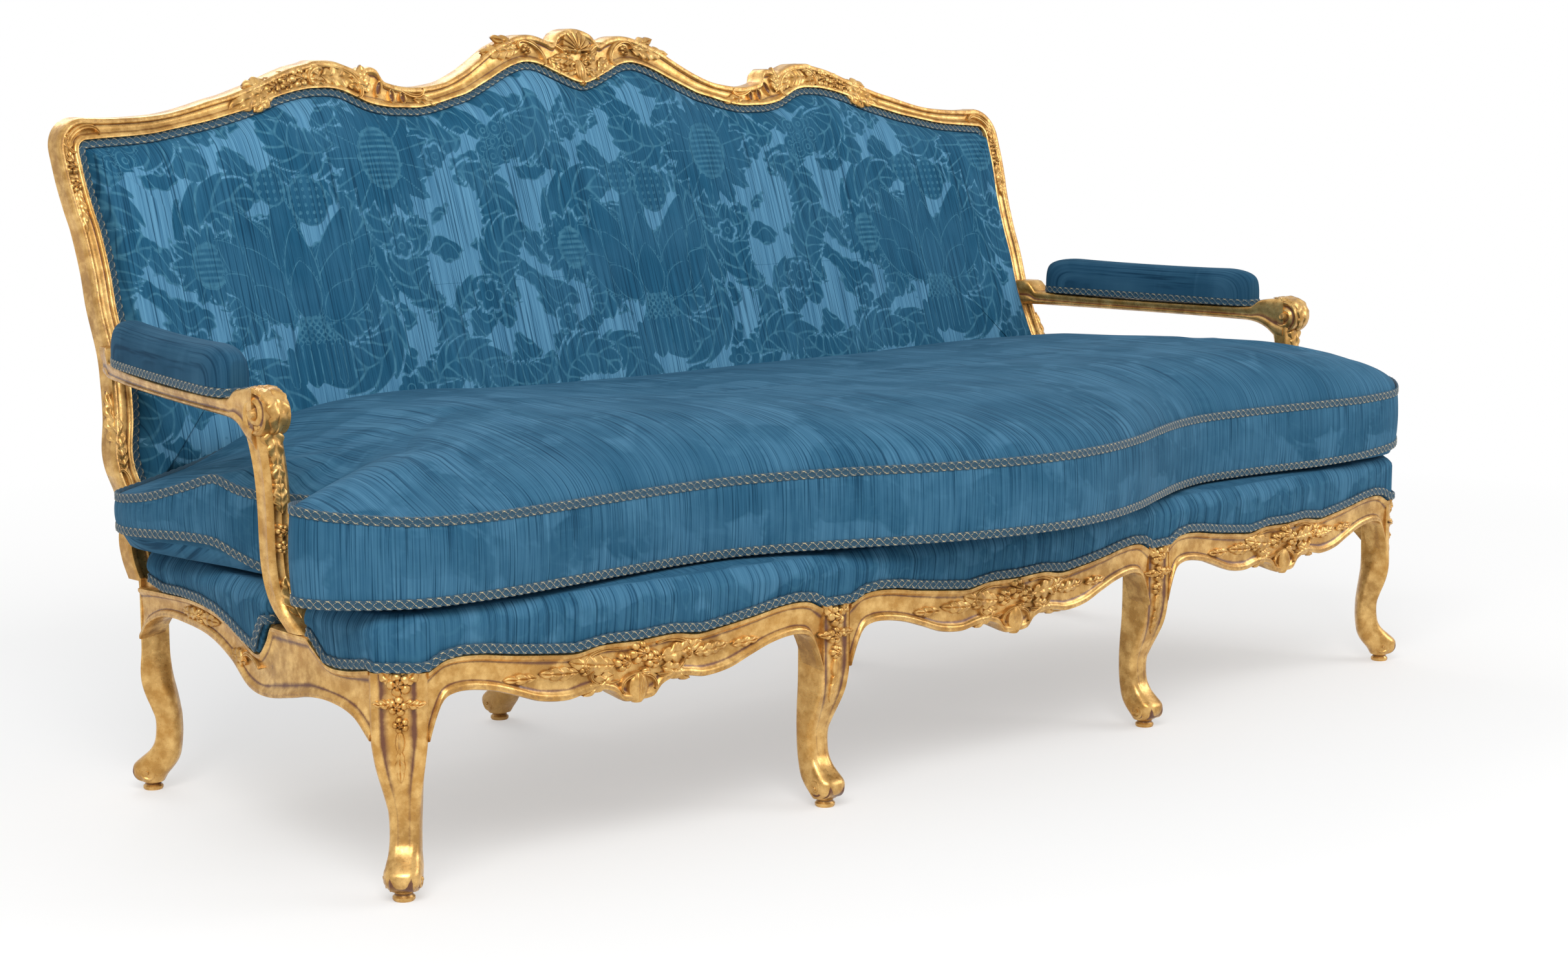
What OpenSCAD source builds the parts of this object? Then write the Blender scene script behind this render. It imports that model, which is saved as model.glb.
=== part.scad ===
/* [Overall] */
// Height to the top of the crest
overall_h = 1070; // [960:1:1180]
// Angle by which the back leans backwards
back_rake = 18.2; // [12:0.1:21]
// Distance between the centres of the front corner feet
front_span = 2050; // [1850:1:2250]
// Distance from the front corner feet to the rear corner feet
seat_d = 682; // [620:1:740]
// Distance between the centres of the middle feet
mid_span = 690; // [560:1:780]
// How far the middle front feet stand in front of the corner feet
mid_forward = 36; // [20:1:50]
// How far the seat narrows to each side at the rear
side_taper = 62; // [40:1:80]

/* [Legs] */
// Radius of the pad under each foot
pad_r = 14; // [11:0.5:17]
// Height of the pad
pad_h = 14; // [10:0.5:18]
// How far the knee swings out from the centre of the pad
knee_out = 25; // [18:0.5:30]
// Radius of the scroll on the foot
scroll_r = 13; // [10:0.5:16]
// Width of the scroll on the foot
scroll_w = 28; // [22:1:34]

/* [Seat frame] */
// Height of the top of the seat frame
frame_top_z = 305; // [285:1:330]
// Thickness of the show rails
rail_t = 40; // [34:1:44]
// Side of the square block at the top of a front leg
block_s = 50; // [46:1:56]
// Side of the square block at the top of a rear leg
rear_block_s = 43; // [40:1:50]
// Cut across the outer corner of a corner block
block_chamfer = 36; // [28:1:40]
// Thickness of the plain rear rail
rear_rail_t = 28; // [22:1:32]
// Height of the plain rear rail
rear_rail_h = 62; // [50:1:75]
// How far the front bows out in the middle
front_bow = 53; // [40:1:60]
// Length of a rail tenon
tenon_l = 18; // [12:0.5:19]
// Thickness of a rail tenon
tenon_t = 10; // [6:0.5:12]
// Height of a rail tenon
tenon_h = 46; // [30:1:50]
// Side clearance of a tenon in its mortise
tenon_gap = 0.15; // [0.05:0.05:0.4]
// Width of a cross bearer
bearer_w = 44; // [34:1:60]
// Thickness of a cross bearer
bearer_t = 26; // [20:1:32]

/* [Back frame] */
// Width of the face of the back frame
back_face_w = 32; // [28:1:38]
// Thickness of the back frame, measured level
back_t = 40; // [34:1:46]
// Outer radius of the top corners
corner_r = 48; // [42:1:60]
// Height of the underside of the back's bottom rail
bottom_rail_z = 380; // [372:1:400]
// Height of the face of the back's bottom rail
bottom_rail_h = 40; // [34:1:50]
// Height of the top of the crest above its shoulders
crest_rise = 137; // [110:1:165]

/* [Arms] */
// Height of the underside of the arms
arm_low_z = 565; // [555:1:600]
// Thickness of the arm under its pad
arm_t = 24; // [20:1:30]
// Width of the arm
arm_w = 40; // [34:1:46]
// Radius of the scroll at the front of the arm
arm_scroll_r = 30; // [24:1:32]
// How much higher the rear of the arm is than its front
arm_rise = 10; // [4:1:16]
// Distance from the front corner feet back to the arm's scroll
arm_setback = 228; // [215:1:240]
// Height of the arm pad
arm_pad_h = 68; // [50:1:80]
// Width of the arm pad
arm_pad_w = 58; // [52:1:66]
// Width of the post that carries the arm
post_w = 36; // [32:1:40]

/* [Upholstery] */
// Thickness of the webbing
web_t = 1.5; // [1:0.1:2.5]
// Width of one strap of webbing
web_w = 60; // [45:1:75]
// Number of webbing straps from front to rear of the seat
web_count = 20; // [12:1:24]
// Number of upright webbing straps in the back
back_web_count = 16; // [10:1:20]
// Thickness of the hessian over the webbing
hessian_t = 1; // [0.6:0.1:1.6]
// Height of the fixed seat above the hessian
deck_h = 50; // [40:1:60]
// How far the fixed seat swells out over the rails
deck_swell = 6; // [4:1:12]
// How far the stuffed back swells in front of its frame
back_swell = 28; // [16:1:36]
// Width of the gimp braid
gimp_w = 12; // [9:0.5:14]
// Thickness of the gimp braid
gimp_t = 3; // [2:0.1:3.6]

/* [Seat cushion] */
// Space between the cushion and the arm post beside it
cushion_post_gap = 30; // [26:1:40]
// Height of the cushion's border between its two seams
cushion_border = 112; // [90:1:120]
// Height of the crown above the upper seam
cushion_crown = 80; // [60:1:90]
// How far the rear of the cushion leans back with the back
cushion_lean = 16; // [8:1:18]
// How far the border swells between the seams
border_swell = 3; // [2:0.5:7]

/* [Hidden] */
$fn = 32;
foot_facets = 24;
soft_gap = 0.5;
touch_gap = 0.3;
rebate = 9;
bead = 6;
hollow = 4;
underside_rise = 6;
rim = 3;
edge_chamfer = 4;
side_scroll_back = 8;
side_scroll_w = 1.76 * block_s / 2;
cover_t = 1.5;
ledge_w = 12;
ledge_t = 16;
body_overlap = 6;
block_nib = 2;
half_front = front_span / 2;
half_rear = half_front - side_taper;
half_mid = mid_span / 2;
rear_mid_y = seat_d + pad_r / 2;
block_reach = block_s / 2;
front_face_y = -0.44 * block_s;
rear_face_y = seat_d - rear_block_s / 2;
side_out = block_reach;
lean = tan(back_rake);
back_y0 = rear_face_y + body_overlap / 2 - frame_top_z * lean;
hessian_z = frame_top_z + 2 * web_t;
deck_z = hessian_z + hessian_t + touch_gap;
deck_top_z = deck_z + deck_h;
cushion_z = deck_top_z + touch_gap;
top_seam_z = cushion_z + cushion_border;
half_crest = half_rear + 0.24 * side_taper;
corner_x = half_crest - corner_r;
shoulder_z = overall_h - crest_rise;
corner_z = shoulder_z - corner_r;
bottom_rail_top = bottom_rail_z + bottom_rail_h;
arm_rest_z = arm_low_z + arm_t;
cushion_front_share = 0.24;
bow_shares = [[0, 1], [0.2, 0.92], [0.34, 0.68], [0.5, 0.52], [0.67, 0.4], [0.83, 0.2], [1, 0]];
rail_low_shares = [
    [0, 0.662], [0.07, 0.668], [0.11, 0.71], [0.18, 0.732], [0.25, 0.726], [0.33, 0.712],
    [0.45, 0.727], [0.56, 0.768], [0.66, 0.803], [0.76, 0.822], [0.83, 0.82], [0.88, 0.795],
    [0.915, 0.72], [0.94, 0.64]];
rail_top_shares = [
    [0, 0.918], [0.18, 0.923], [0.29, 0.905], [0.42, 0.918], [0.58, 0.94], [0.74, 0.966],
    [0.86, 0.964], [0.94, 0.925]];
leg_crest_share = 0.955;
side_low_shares = [
    [0, 0.64], [0.05, 0.72], [0.12, 0.755], [0.2, 0.752], [0.28, 0.72], [0.38, 0.688],
    [0.46, 0.705], [0.54, 0.79], [0.64, 0.85], [0.76, 0.868], [0.88, 0.86], [0.96, 0.8], [1, 0.72]];
side_top_shares = [
    [0, 0.93], [0.08, 0.905], [0.14, 0.91], [0.19, 0.97], [0.212, 0.998], [0.348, 0.998],
    [0.37, 0.93], [0.41, 0.862], [0.5, 0.91], [0.6, 0.965], [0.72, 0.985], [0.86, 0.975],
    [1, 0.96]];
side_station_shares = [
    0, 0.04, 0.09, 0.14, 0.19, 0.212, 0.28, 0.348, 0.37, 0.41, 0.47, 0.54, 0.61, 0.69, 0.78,
    0.87, 0.94, 1];
side_lip_shares = [[0, 0], [0.14, 0], [0.19, 1], [0.37, 1], [0.41, 0], [0.87, 0], [0.94, 1]];
side_plan_shares = [[0, 0], [0.18, 0], [0.35, 0.12], [0.55, 0.42], [0.8, 0.8], [1, 1]];
notch_shares = [[0.19, 0], [0.212, 1], [0.348, 1], [0.37, 0]];
leg_station_shares = [
    0.04, 0.066, 0.095, 0.125, 0.155, 0.19, 0.23, 0.285, 0.34, 0.393, 0.445, 0.5, 0.56,
    0.62, 0.68, 0.75, 0.82];
leg_out_shares = [
    [0.04, 0.5], [0.066, 0.88], [0.095, 1], [0.12, 0.94], [0.15, 0.55], [0.185, 0.1],
    [0.225, -0.2], [0.28, -0.32], [0.334, -0.32], [0.39, -0.16], [0.446, 0.08], [0.5, 0.3],
    [0.56, 0.5], [0.64, 0.64], [0.74, 0.6], [0.87, 0.5]];
leg_in_shares = [
    [0.04, 0.6], [0.07, 0.8], [0.1, 1.1], [0.13, 1.36], [0.17, 1.56], [0.26, 1.7],
    [0.35, 1.68], [0.43, 1.58], [0.53, 1.4], [0.62, 1.3]];
leg_half_shares = [
    [0.04, 0.7], [0.08, 0.86], [0.125, 0.86], [0.18, 0.76], [0.285, 0.74], [0.393, 0.82],
    [0.5, 0.94], [0.62, 1]];
leg_chamfer_shares = [[0.04, 2.4], [0.13, 3], [0.22, 2], [0.5, 1.5], [0.7, 1]];
leg_turn_shares = [[0.393, 0], [0.5, 0.12], [0.62, 0.5], [0.75, 0.92], [0.82, 1]];
leg_block_share = 0.6;
stile_out_shares = [
    [0.28, 0.12], [0.305, 0.19], [0.33, 0.18], [0.365, 0.02], [0.39, 0.06], [0.42, 0.17],
    [0.444, 0.16], [0.484, -0.02], [0.533, -0.145], [0.565, -0.19], [0.625, -0.15],
    [0.67, -0.18], [0.724, -0.145], [0.75, -0.08], [0.785, -0.02], [0.82, 0]];
stile_low_shares = [0, 0.33, 0.66, 0.85, 1];
stile_high_shares = [
    0, 0.04, 0.095, 0.141, 0.19, 0.252, 0.322, 0.417, 0.534, 0.653, 0.757, 0.83, 0.9];
crest_rise_shares = [
    [0, 1], [0.0204, 0.978], [0.036, 0.927], [0.046, 0.84], [0.053, 0.825], [0.0634, 0.861],
    [0.082, 0.905], [0.102, 0.92], [0.127, 0.898], [0.148, 0.847], [0.179, 0.759],
    [0.211, 0.628], [0.241, 0.511], [0.271, 0.416], [0.291, 0.365], [0.319, 0.328],
    [0.348, 0.307], [0.376, 0.314], [0.4, 0.35], [0.411, 0.39], [0.419, 0.5], [0.43, 0.53],
    [0.442, 0.515], [0.45, 0.47], [0.462, 0.511], [0.479, 0.555], [0.496, 0.591],
    [0.513, 0.6], [0.535, 0.599], [0.544, 0.577], [0.576, 0.526], [0.607, 0.453],
    [0.639, 0.365], [0.671, 0.292], [0.701, 0.226], [0.731, 0.175], [0.761, 0.117],
    [0.79, 0.066], [0.818, 0.029], [0.849, 0.007], [0.89, -0.007], [0.92, -0.01], [0.96, 0]];
crest_low_shares = [
    [0, 0.35], [0.0204, 0.38], [0.036, 0.423], [0.046, 0.453], [0.061, 0.496], [0.08, 0.555],
    [0.097, 0.588], [0.118, 0.595], [0.14, 0.562], [0.163, 0.504], [0.192, 0.409],
    [0.222, 0.314], [0.2515, 0.226], [0.28, 0.175], [0.308, 0.124], [0.348, 0.073],
    [0.379, 0.073], [0.409, 0.08], [0.443, 0.124], [0.47, 0.204], [0.49, 0.263],
    [0.512, 0.292], [0.536, 0.292], [0.554, 0.285], [0.585, 0.248], [0.617, 0.19],
    [0.648, 0.117], [0.679, 0.051], [0.709, 0], [0.744, -0.058], [0.779, -0.102],
    [0.814, -0.146], [0.838, -0.175], [0.869, -0.197], [0.923, -0.22], [0.951, -0.2336]];
crest_station_shares = [
    0, 0.02, 0.036, 0.0455, 0.053, 0.066, 0.086, 0.11, 0.138, 0.17, 0.205, 0.245, 0.285,
    0.325, 0.365, 0.4, 0.42, 0.432, 0.441, 0.452, 0.466, 0.474, 0.49, 0.515, 0.545, 0.572,
    0.61, 0.655, 0.7, 0.755, 0.82, 0.89, 1];
cushion_plan_shares = [
    [0, 0.998, 0.065, 1.3], [0.27, 0.998, 0.065, 1.3], [0.52, 0.998, 0.065, 1.3],
    [0.68, 0.997, 0.08, 1.1], [0.78, 0.994, 0.11, 0.8], [0.86, 0.985, 0.18, 0.63],
    [0.9, 0.95, 0.23, 0.6], [0.915, 0.88, 0.23, 0.62], [0.916, 0.77, 0.27, 0.72],
    [0.91, 0.66, 0.31, 0.9], [0.905, 0.575, 0.3, 1.04], [0.902, 0.51, 0.2, 0.96],
    [0.896, 0.44, 0.1, 0.92], [0.877, 0.398, 0.065, 0.9], [0.868, 0.36, 0.065, 0.9],
    [0.866, 0.31, 0.065, 0.9], [0.876, 0.275, 0.065, 0.92], [0.913, 0.247, 0.065, 0.96],
    [0.949, 0.195, 0.065, 1.02], [0.976, 0.135, 0.065, 1.05], [0.965, 0.066, 0.065, 1.02],
    [0.924, 0, 0.065, 0.97], [0.88, -0.04, 0.065, 0.94], [0.79, -0.052, 0.065, 0.92],
    [0.7, -0.042, 0.065, 0.92], [0.61, -0.028, 0.065, 0.92], [0.52, -0.018, 0.065, 0.92],
    [0.44, -0.02, 0.065, 0.92], [0.36, -0.055, 0.065, 0.93], [0.28, -0.11, 0.065, 0.94],
    [0.19, -0.175, 0.065, 0.94], [0.095, -0.222, 0.065, 0.94],
    [0, -cushion_front_share, 0.065, 0.94]];
seat_d_notch_share = 0.24;
right_lift_shares = [[0.74, 0], [0.85, 0.06], [0.93, 0.13], [1, 0.15]];
straight_left_shares = [[0.5, 0], [0.62, 0.3], [0.72, 0.6], [0.8, 1], [1, 1]];
straight_right_shares = [[0.7, 0], [0.9, 0.4], [0.97, 0.8], [1, 0.8]];
cushion_inner_shares = [
    [0, 0.47, 0.8, 0.8], [0.27, 0.47, 0.82, 0.78], [0.52, 0.47, 0.92, 1],
    [0.66, 0.47, 0.96, 1.05], [0.72, 0.465, 0.96, 0.92], [0.76, 0.45, 0.96, 0.8],
    [0.78, 0.44, 0.96, 0.72], [0.79, 0.43, 0.95, 0.64], [0.794, 0.42, 0.95, 0.6],
    [0.797, 0.41, 0.95, 0.58], [0.799, 0.4, 0.95, 0.56], [0.8, 0.39, 0.95, 0.56],
    [0.801, 0.375, 0.95, 0.56], [0.801, 0.36, 0.95, 0.56], [0.8, 0.34, 0.95, 0.56],
    [0.8, 0.31, 0.95, 0.56], [0.805, 0.27, 0.94, 0.58], [0.82, 0.23, 0.9, 0.6],
    [0.835, 0.19, 0.84, 0.62], [0.845, 0.15, 0.76, 0.62], [0.84, 0.12, 0.7, 0.62],
    [0.825, 0.125, 0.72, 0.66], [0.8, 0.15, 0.76, 0.7], [0.76, 0.2, 0.84, 0.8],
    [0.7, 0.27, 0.93, 0.9], [0.61, 0.33, 0.95, 0.97], [0.52, 0.37, 0.93, 0.95],
    [0.44, 0.385, 0.9, 0.93], [0.36, 0.395, 0.89, 0.9], [0.28, 0.405, 0.88, 0.88],
    [0.19, 0.41, 0.84, 0.84], [0.095, 0.415, 0.82, 0.82], [0, 0.415, 0.8, 0.8]];
cushion_spine_share = 0.75;
back_reach = back_y0 + overall_h * lean + back_t;
front_reach = cushion_front_share * seat_d + gimp_t;
middle_y = (back_reach - front_reach) / 2;
wood = "#b88a3a";
plain_wood = "#a9845a";
velvet = "#2f6a92";
braid = "#3d7d97";
jute = "#b9a27a";
linen = "#c9bda0";

// Curves through tables of pairs, and skins over rings of points

function lerp(a, b, k) = a + (b - a) * k;
function span_of(t, x, i = 0) = (i >= len(t) - 2 || x < t[i + 1][0]) ? i : span_of(t, x, i + 1);
function slope(t, i) =
    let (a = max(i - 1, 0), b = min(i + 1, len(t) - 1))
    (t[b][1] - t[a][1]) / (t[b][0] - t[a][0]);

// Smooth curve through the pairs of a table, level beyond its ends
function curve(t, x) =
    let (i = span_of(t, x),
        w = t[i + 1][0] - t[i][0],
        k = min(max((x - t[i][0]) / w, 0), 1),
        m = slope(t, i) * w,
        n = slope(t, i + 1) * w)
    t[i][1] * (2 * k ^ 3 - 3 * k ^ 2 + 1) + m * (k ^ 3 - 2 * k ^ 2 + k)
    + t[i + 1][1] * (3 * k ^ 2 - 2 * k ^ 3) + n * (k ^ 3 - k ^ 2);

// The table with its mirror image before it, so that it is level at zero
function mirrored(t) = [for (i = [len(t) - 1:-1:1]) [-t[i][0], t[i][1]], each t];

function face_terms(p, f) = [for (k = [1:len(f) - 2]) p[f[0]] * cross(p[f[k]], p[f[k + 1]])];
function six_volumes(p, faces) =
    let (terms = [for (f = faces) each face_terms(p, f)])
    terms * [for (t = terms) 1];
function turned(faces) = [for (f = faces) [for (k = [len(f) - 1:-1:0]) f[k]]];

// Closed solid over rings of points, with a flat cap at each end or joined into a loop
module skin(rings, loop = false) {
    n = len(rings[0]);
    m = len(rings);
    last = loop ? m - 1 : m - 2;
    points = [for (r = rings) each r];
    sides = [for (i = [0:last], j = [0:n - 1])
        let (a = i * n, b = ((i + 1) % m) * n, k = (j + 1) % n)
        each [[a + j, a + k, b + k], [a + j, b + k, b + j]]];
    caps = loop ? [] : [[for (j = [n - 1:-1:0]) j], [for (j = [0:n - 1]) (m - 1) * n + j]];
    faces = concat(sides, caps);
    polyhedron(points, six_volumes(points, faces) > 0 ? turned(faces) : faces);
}

// Puts the origin under the middle of the sofa
module placed() {
    translate([0, -middle_y, 0]) children();
}

// The same piece on the other side of the sofa
module sided(side) {
    scale([side, 1, 1]) children();
}

// Outline of the seat frame

function front_face(x) = front_face_y - front_bow * curve(mirrored(bow_shares), x / half_front);
function side_face(y) =
    half_front + side_out
    - side_taper * curve(side_plan_shares, side_share(y));
side_front_y = front_face_y + block_s;
side_length = rear_face_y - side_front_y;
function side_share(y) = (y - side_front_y) / side_length;
function side_y(share) = side_front_y + share * side_length;

// Centres of the three bays of the front, and the x where a bay's rail ends
bay_centres = [-(half_front + half_mid) / 2, 0, (half_front + half_mid) / 2];
bay_halves = [(half_front - half_mid) / 2, half_mid, (half_front - half_mid) / 2];
function rail_stretch(i) = bay_halves[i] - block_reach;
rail_steps = 16;
station_mix_share = 0.55;
function eased(k) = lerp(k, sin(90 * k), station_mix_share);
function bay_stations(i) =
    [for (s = [0:rail_steps]) bay_centres[i] + rail_stretch(i) * eased(2 * s / rail_steps - 1)];
function bay_share(i, x) = abs(x - bay_centres[i]) / rail_stretch(i) * 0.94;
function front_low_z(i, x) = frame_top_z * curve(rail_low_shares, bay_share(i, x));
function front_top_z(i, x) = frame_top_z * curve(rail_top_shares, bay_share(i, x));
function side_low_z(y) = frame_top_z * curve(side_low_shares, side_share(y));
function side_top_z(y) =
    min(frame_top_z * curve(side_top_shares, side_share(y)), frame_top_z - touch_gap);

// Section of a show rail: [depth behind the face, height]
function rail_section(low, top) = [
    [rail_t, low + underside_rise], [rim, low], [0, low + bead], [hollow, low + 2 * bead],
    [hollow, top - 2 * bead], [0, top - bead], [rim, top], [rebate, top],
    [rebate, frame_top_z], [rail_t, frame_top_z]];

tenon_z = frame_top_z - tenon_h - tenon_l / 2;

// A tenon, or with grow its mortise, that runs along x from x to x + reach
module tenon_along_x(x, y, reach, grow = 0) {
    translate([min(x, x + reach) - grow, y - tenon_t / 2 - grow, tenon_z - grow])
        cube([abs(reach) + 2 * grow, tenon_t + 2 * grow, tenon_h + 2 * grow]);
}

// A tenon, or with grow its mortise, that runs along y from y to y + reach
module tenon_along_y(x, y, reach, grow = 0) {
    translate([x - tenon_t / 2 - grow, min(y, y + reach) - grow, tenon_z - grow])
        cube([tenon_t + 2 * grow, abs(reach) + 2 * grow, tenon_h + 2 * grow]);
}

function front_tenon_y(x) = front_face(x) + rail_t / 2;
front_end_x = half_front - block_reach;
side_tenon_front_x = half_front + side_out - rail_t / 2 + rim;
side_tenon_rear_x = side_face(rear_face_y) - rail_t / 2;
rear_tenon_y = seat_d + rear_block_s / 2 - rear_rail_t / 2 - block_nib;

// Legs

// Section of a cabriole leg set square to its swing: [outwards, sideways]
function leg_section(z) =
    let (share = z / frame_top_z,
        outer = knee_out * curve(leg_out_shares, share),
        inner = -knee_out * curve(leg_in_shares, share),
        half = block_reach * curve(leg_half_shares, share),
        c = edge_chamfer * curve(leg_chamfer_shares, share))
    [[outer, -half / 2], [outer, half / 2], [outer - c, half], [inner + c, half],
        [inner, half / 2], [inner, -half / 2], [inner + c, -half], [outer - c, -half]];

// The section turned to face the direction of the swing and set on the foot
function leg_ring(z, foot, swing) =
    [for (p = leg_section(z))
        [foot.x + p[0] * cos(swing) - p[1] * sin(swing),
            foot.y + p[0] * sin(swing) + p[1] * cos(swing), z]];

// How far a corner block's inner faces are dished, as a share of the cut at its inner corner
dish_share = 0.2;

// Plan of a corner block from its inner corner a to its outer corner b
function corner_block_ring(a, b, z) =
    let (cx = sign(b.x - a.x) * block_chamfer, cy = sign(b.y - a.y) * block_chamfer,
        nx = sign(b.x - a.x) * block_nib, ny = sign(b.y - a.y) * block_nib,
        along_y = [[b.x - cx, b.y, z], [b.x, b.y - cy, z], [b.x, a.y, z],
            [(a.x + b.x) / 2, a.y + ny * dish_share, z], [a.x + nx, a.y, z], [a.x, a.y + ny, z],
            [a.x + nx * dish_share, (a.y + b.y) / 2, z], [a.x, b.y, z]])
    (b.x - a.x) * (b.y - a.y) < 0 ? along_y : [for (k = [1, 0, 7, 6, 5, 4, 3, 2]) along_y[k]];

// Plan of a middle block that swings along y, from its inner face to its outer face, which
// may be skewed to follow the bowed front
function mid_block_ring(x, inner, outer, z, skew = 0) =
    let (way = sign(outer - inner), half = block_reach, c = way * block_nib)
    [[x - half + block_nib, outer - skew, z], [x + half - block_nib, outer + skew, z],
        [x + half, outer + skew - c, z], [x + half, inner + c, z], [x + half - block_nib, inner, z],
        [x - half + block_nib, inner, z], [x - half, inner + c, z], [x - half, outer - skew - c, z]];

function blend_rings(a, b, k) = [for (i = [0:len(a) - 1]) lerp(a[i], b[i], k)];

// Rings of a leg from the pad up to its block, blending into the block's plan
function leg_rings(foot, swing, block) =
    [for (share = leg_station_shares)
        let (z = share * frame_top_z,
            ring = blend_rings(leg_ring(z, foot, swing), [for (p = block) [p.x, p.y, z]],
                curve(leg_turn_shares, share)))
        share < leg_block_share ? ring : within(ring, block)];

// The ring with no point past the sides of the block
function within(ring, block) =
    let (xs = [for (p = block) p.x], ys = [for (p = block) p.y])
    [for (p = ring) [min(max(p.x, min(xs)), max(xs)), min(max(p.y, min(ys)), max(ys)), p[2]]];

function raised(ring, z) = [for (p = ring) [p.x, p.y, z]];

// Round pad, front roll and pair of side scrolls of one foot
module foot(foot, swing) {
    scroll_x = knee_out * curve(leg_out_shares, leg_station_shares[2]) - scroll_r;
    scroll_z = pad_h + scroll_r - rim / 4;
    translate([foot.x, foot.y, 0]) {
        cylinder(r = pad_r, h = pad_h + body_overlap / 2, $fn = foot_facets);
        rotate([0, 0, swing]) {
            translate([scroll_x, 0, scroll_z])
                rotate([90, 0, 0])
                    cylinder(r = scroll_r, h = scroll_w, center = true, $fn = foot_facets);
            translate([scroll_x - side_scroll_back, 0, scroll_z])
                rotate([90, 0, 0])
                    cylinder(r = scroll_r - block_nib, h = side_scroll_w, center = true, $fn = foot_facets);
        }
    }
}

corner_foot = [half_front, 0];
corner_inner = [half_front - block_reach, front_face_y + block_s];
corner_outer = [half_front + block_reach, front_face_y];
corner_outer_cut = [half_front + block_reach - rebate, front_face_y + rebate];
leg_crest_z = leg_crest_share * frame_top_z;

// Front corner leg on the right, swinging to the corner
module corner_leg() {
    low = corner_block_ring(corner_inner, corner_outer, 0);
    high = corner_block_ring(corner_inner, corner_outer_cut, 0);
    difference() {
        union() {
            skin(concat(leg_rings(corner_foot, -45, low),
                [raised(low, leg_crest_z - rim), raised(high, leg_crest_z),
                raised(high, frame_top_z)]));
            foot(corner_foot, -45);
        }
        tenon_along_x(front_end_x, front_tenon_y(front_end_x), tenon_l, tenon_gap);
        tenon_along_y(side_tenon_front_x, side_front_y, -tenon_l, tenon_gap);
    }
}

// Middle front leg on the right, swinging forwards
module mid_leg() {
    foot_at = [half_mid, -mid_forward];
    outer = front_face(half_mid);
    inner = outer + block_s;
    skew = (front_face(half_mid + block_reach) - front_face(half_mid - block_reach)) / 2;
    low = mid_block_ring(half_mid, inner, outer, 0, skew);
    high = mid_block_ring(half_mid, inner, outer + rebate, 0, skew);
    difference() {
        union() {
            skin(concat(leg_rings(foot_at, -90, [for (k = [0:7]) low[k]]),
                [raised(low, leg_crest_z - rim), raised(high, leg_crest_z),
                raised(high, frame_top_z)]));
            foot(foot_at, -90);
        }
        for (way = [-1, 1]) {
            x = half_mid + way * block_reach;
            tenon_along_x(x, front_tenon_y(x), -way * tenon_l, tenon_gap);
        }
    }
}

rear_outer_y = seat_d + rear_block_s / 2;

// Middle rear leg on the right, swinging backwards
module rear_mid_leg() {
    foot_at = [half_mid, rear_mid_y];
    low = mid_block_ring(half_mid, rear_face_y, rear_outer_y, 0);
    turned_low = [for (k = [1, 0, 7, 6, 5, 4, 3, 2]) low[k]];
    difference() {
        union() {
            skin(concat(leg_rings(foot_at, 90, turned_low), [raised(turned_low, frame_top_z)]));
            foot(foot_at, 90);
        }
        for (way = [-1, 1])
            tenon_along_x(half_mid + way * block_reach, rear_tenon_y, -way * tenon_l, tenon_gap);
    }
}

// Back frame, drawn upright and leant backwards: [x, height, how far forward of the frame's face]

function leant(x, z, n) = [x, back_y0 + z * lean - n, z];
function stile_out(z) = half_crest + side_taper * curve(stile_out_shares, z / overall_h);
function stile_in(z) = stile_out(z) - back_face_w;
crest_nominal_face = 32;
function crest_high_z(x) =
    shoulder_z + crest_rise * curve(mirrored(crest_rise_shares), x / half_crest);
function crest_low_z(x) =
    shoulder_z + crest_rise * curve(mirrored(crest_low_shares), x / half_crest)
    - back_face_w + crest_nominal_face;

// Heights of the rings of a stile, with none between the ends of the bottom rail's ledge
stile_stations = concat(
    [for (share = stile_low_shares) lerp(frame_top_z - body_overlap, bottom_rail_z, share)],
    [for (share = stile_high_shares) lerp(bottom_rail_top + ledge_w, corner_z, share)]);

// Section of the back frame: [share across the face from the outer edge, how far forward]
stile_section = [
    [0.28, -back_t], [0, -2 * bead], [0.1, 0], [0.3, -hollow], [0.7, -hollow], [0.9, 0],
    [1, -bead], [1, -back_t]];

function stile_ring(z) =
    [for (p = stile_section) leant(lerp(stile_out(z), stile_in(z), p[0]), z, p[1])];
corner_steps = 6;
function corner_ring(angle) =
    [for (p = stile_section)
        let (r = corner_r - p[0] * back_face_w)
        leant(corner_x + r * cos(angle), corner_z + r * sin(angle), p[1])];

rear_block_x = half_rear + rear_block_s / 2;
rear_inner = [half_rear - rear_block_s / 2, rear_face_y];
rear_outer = [rear_block_x, rear_outer_y];

// Rear corner leg and back stile on the right, cut from one length of wood
module back_stile() {
    low = corner_block_ring(rear_inner, rear_outer, 0);
    difference() {
        union() {
            skin(concat(leg_rings([half_rear, seat_d], 45, low), [raised(low, frame_top_z)]));
            foot([half_rear, seat_d], 45);
            skin(concat([for (z = stile_stations) stile_ring(z)],
                [for (i = [0:corner_steps]) corner_ring(90 * i / corner_steps)]));
        }
        tenon_along_x(rear_inner.x, rear_tenon_y, tenon_l, tenon_gap);
        tenon_along_y(side_tenon_rear_x, rear_face_y, tenon_l, tenon_gap);
    }
}

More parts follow.
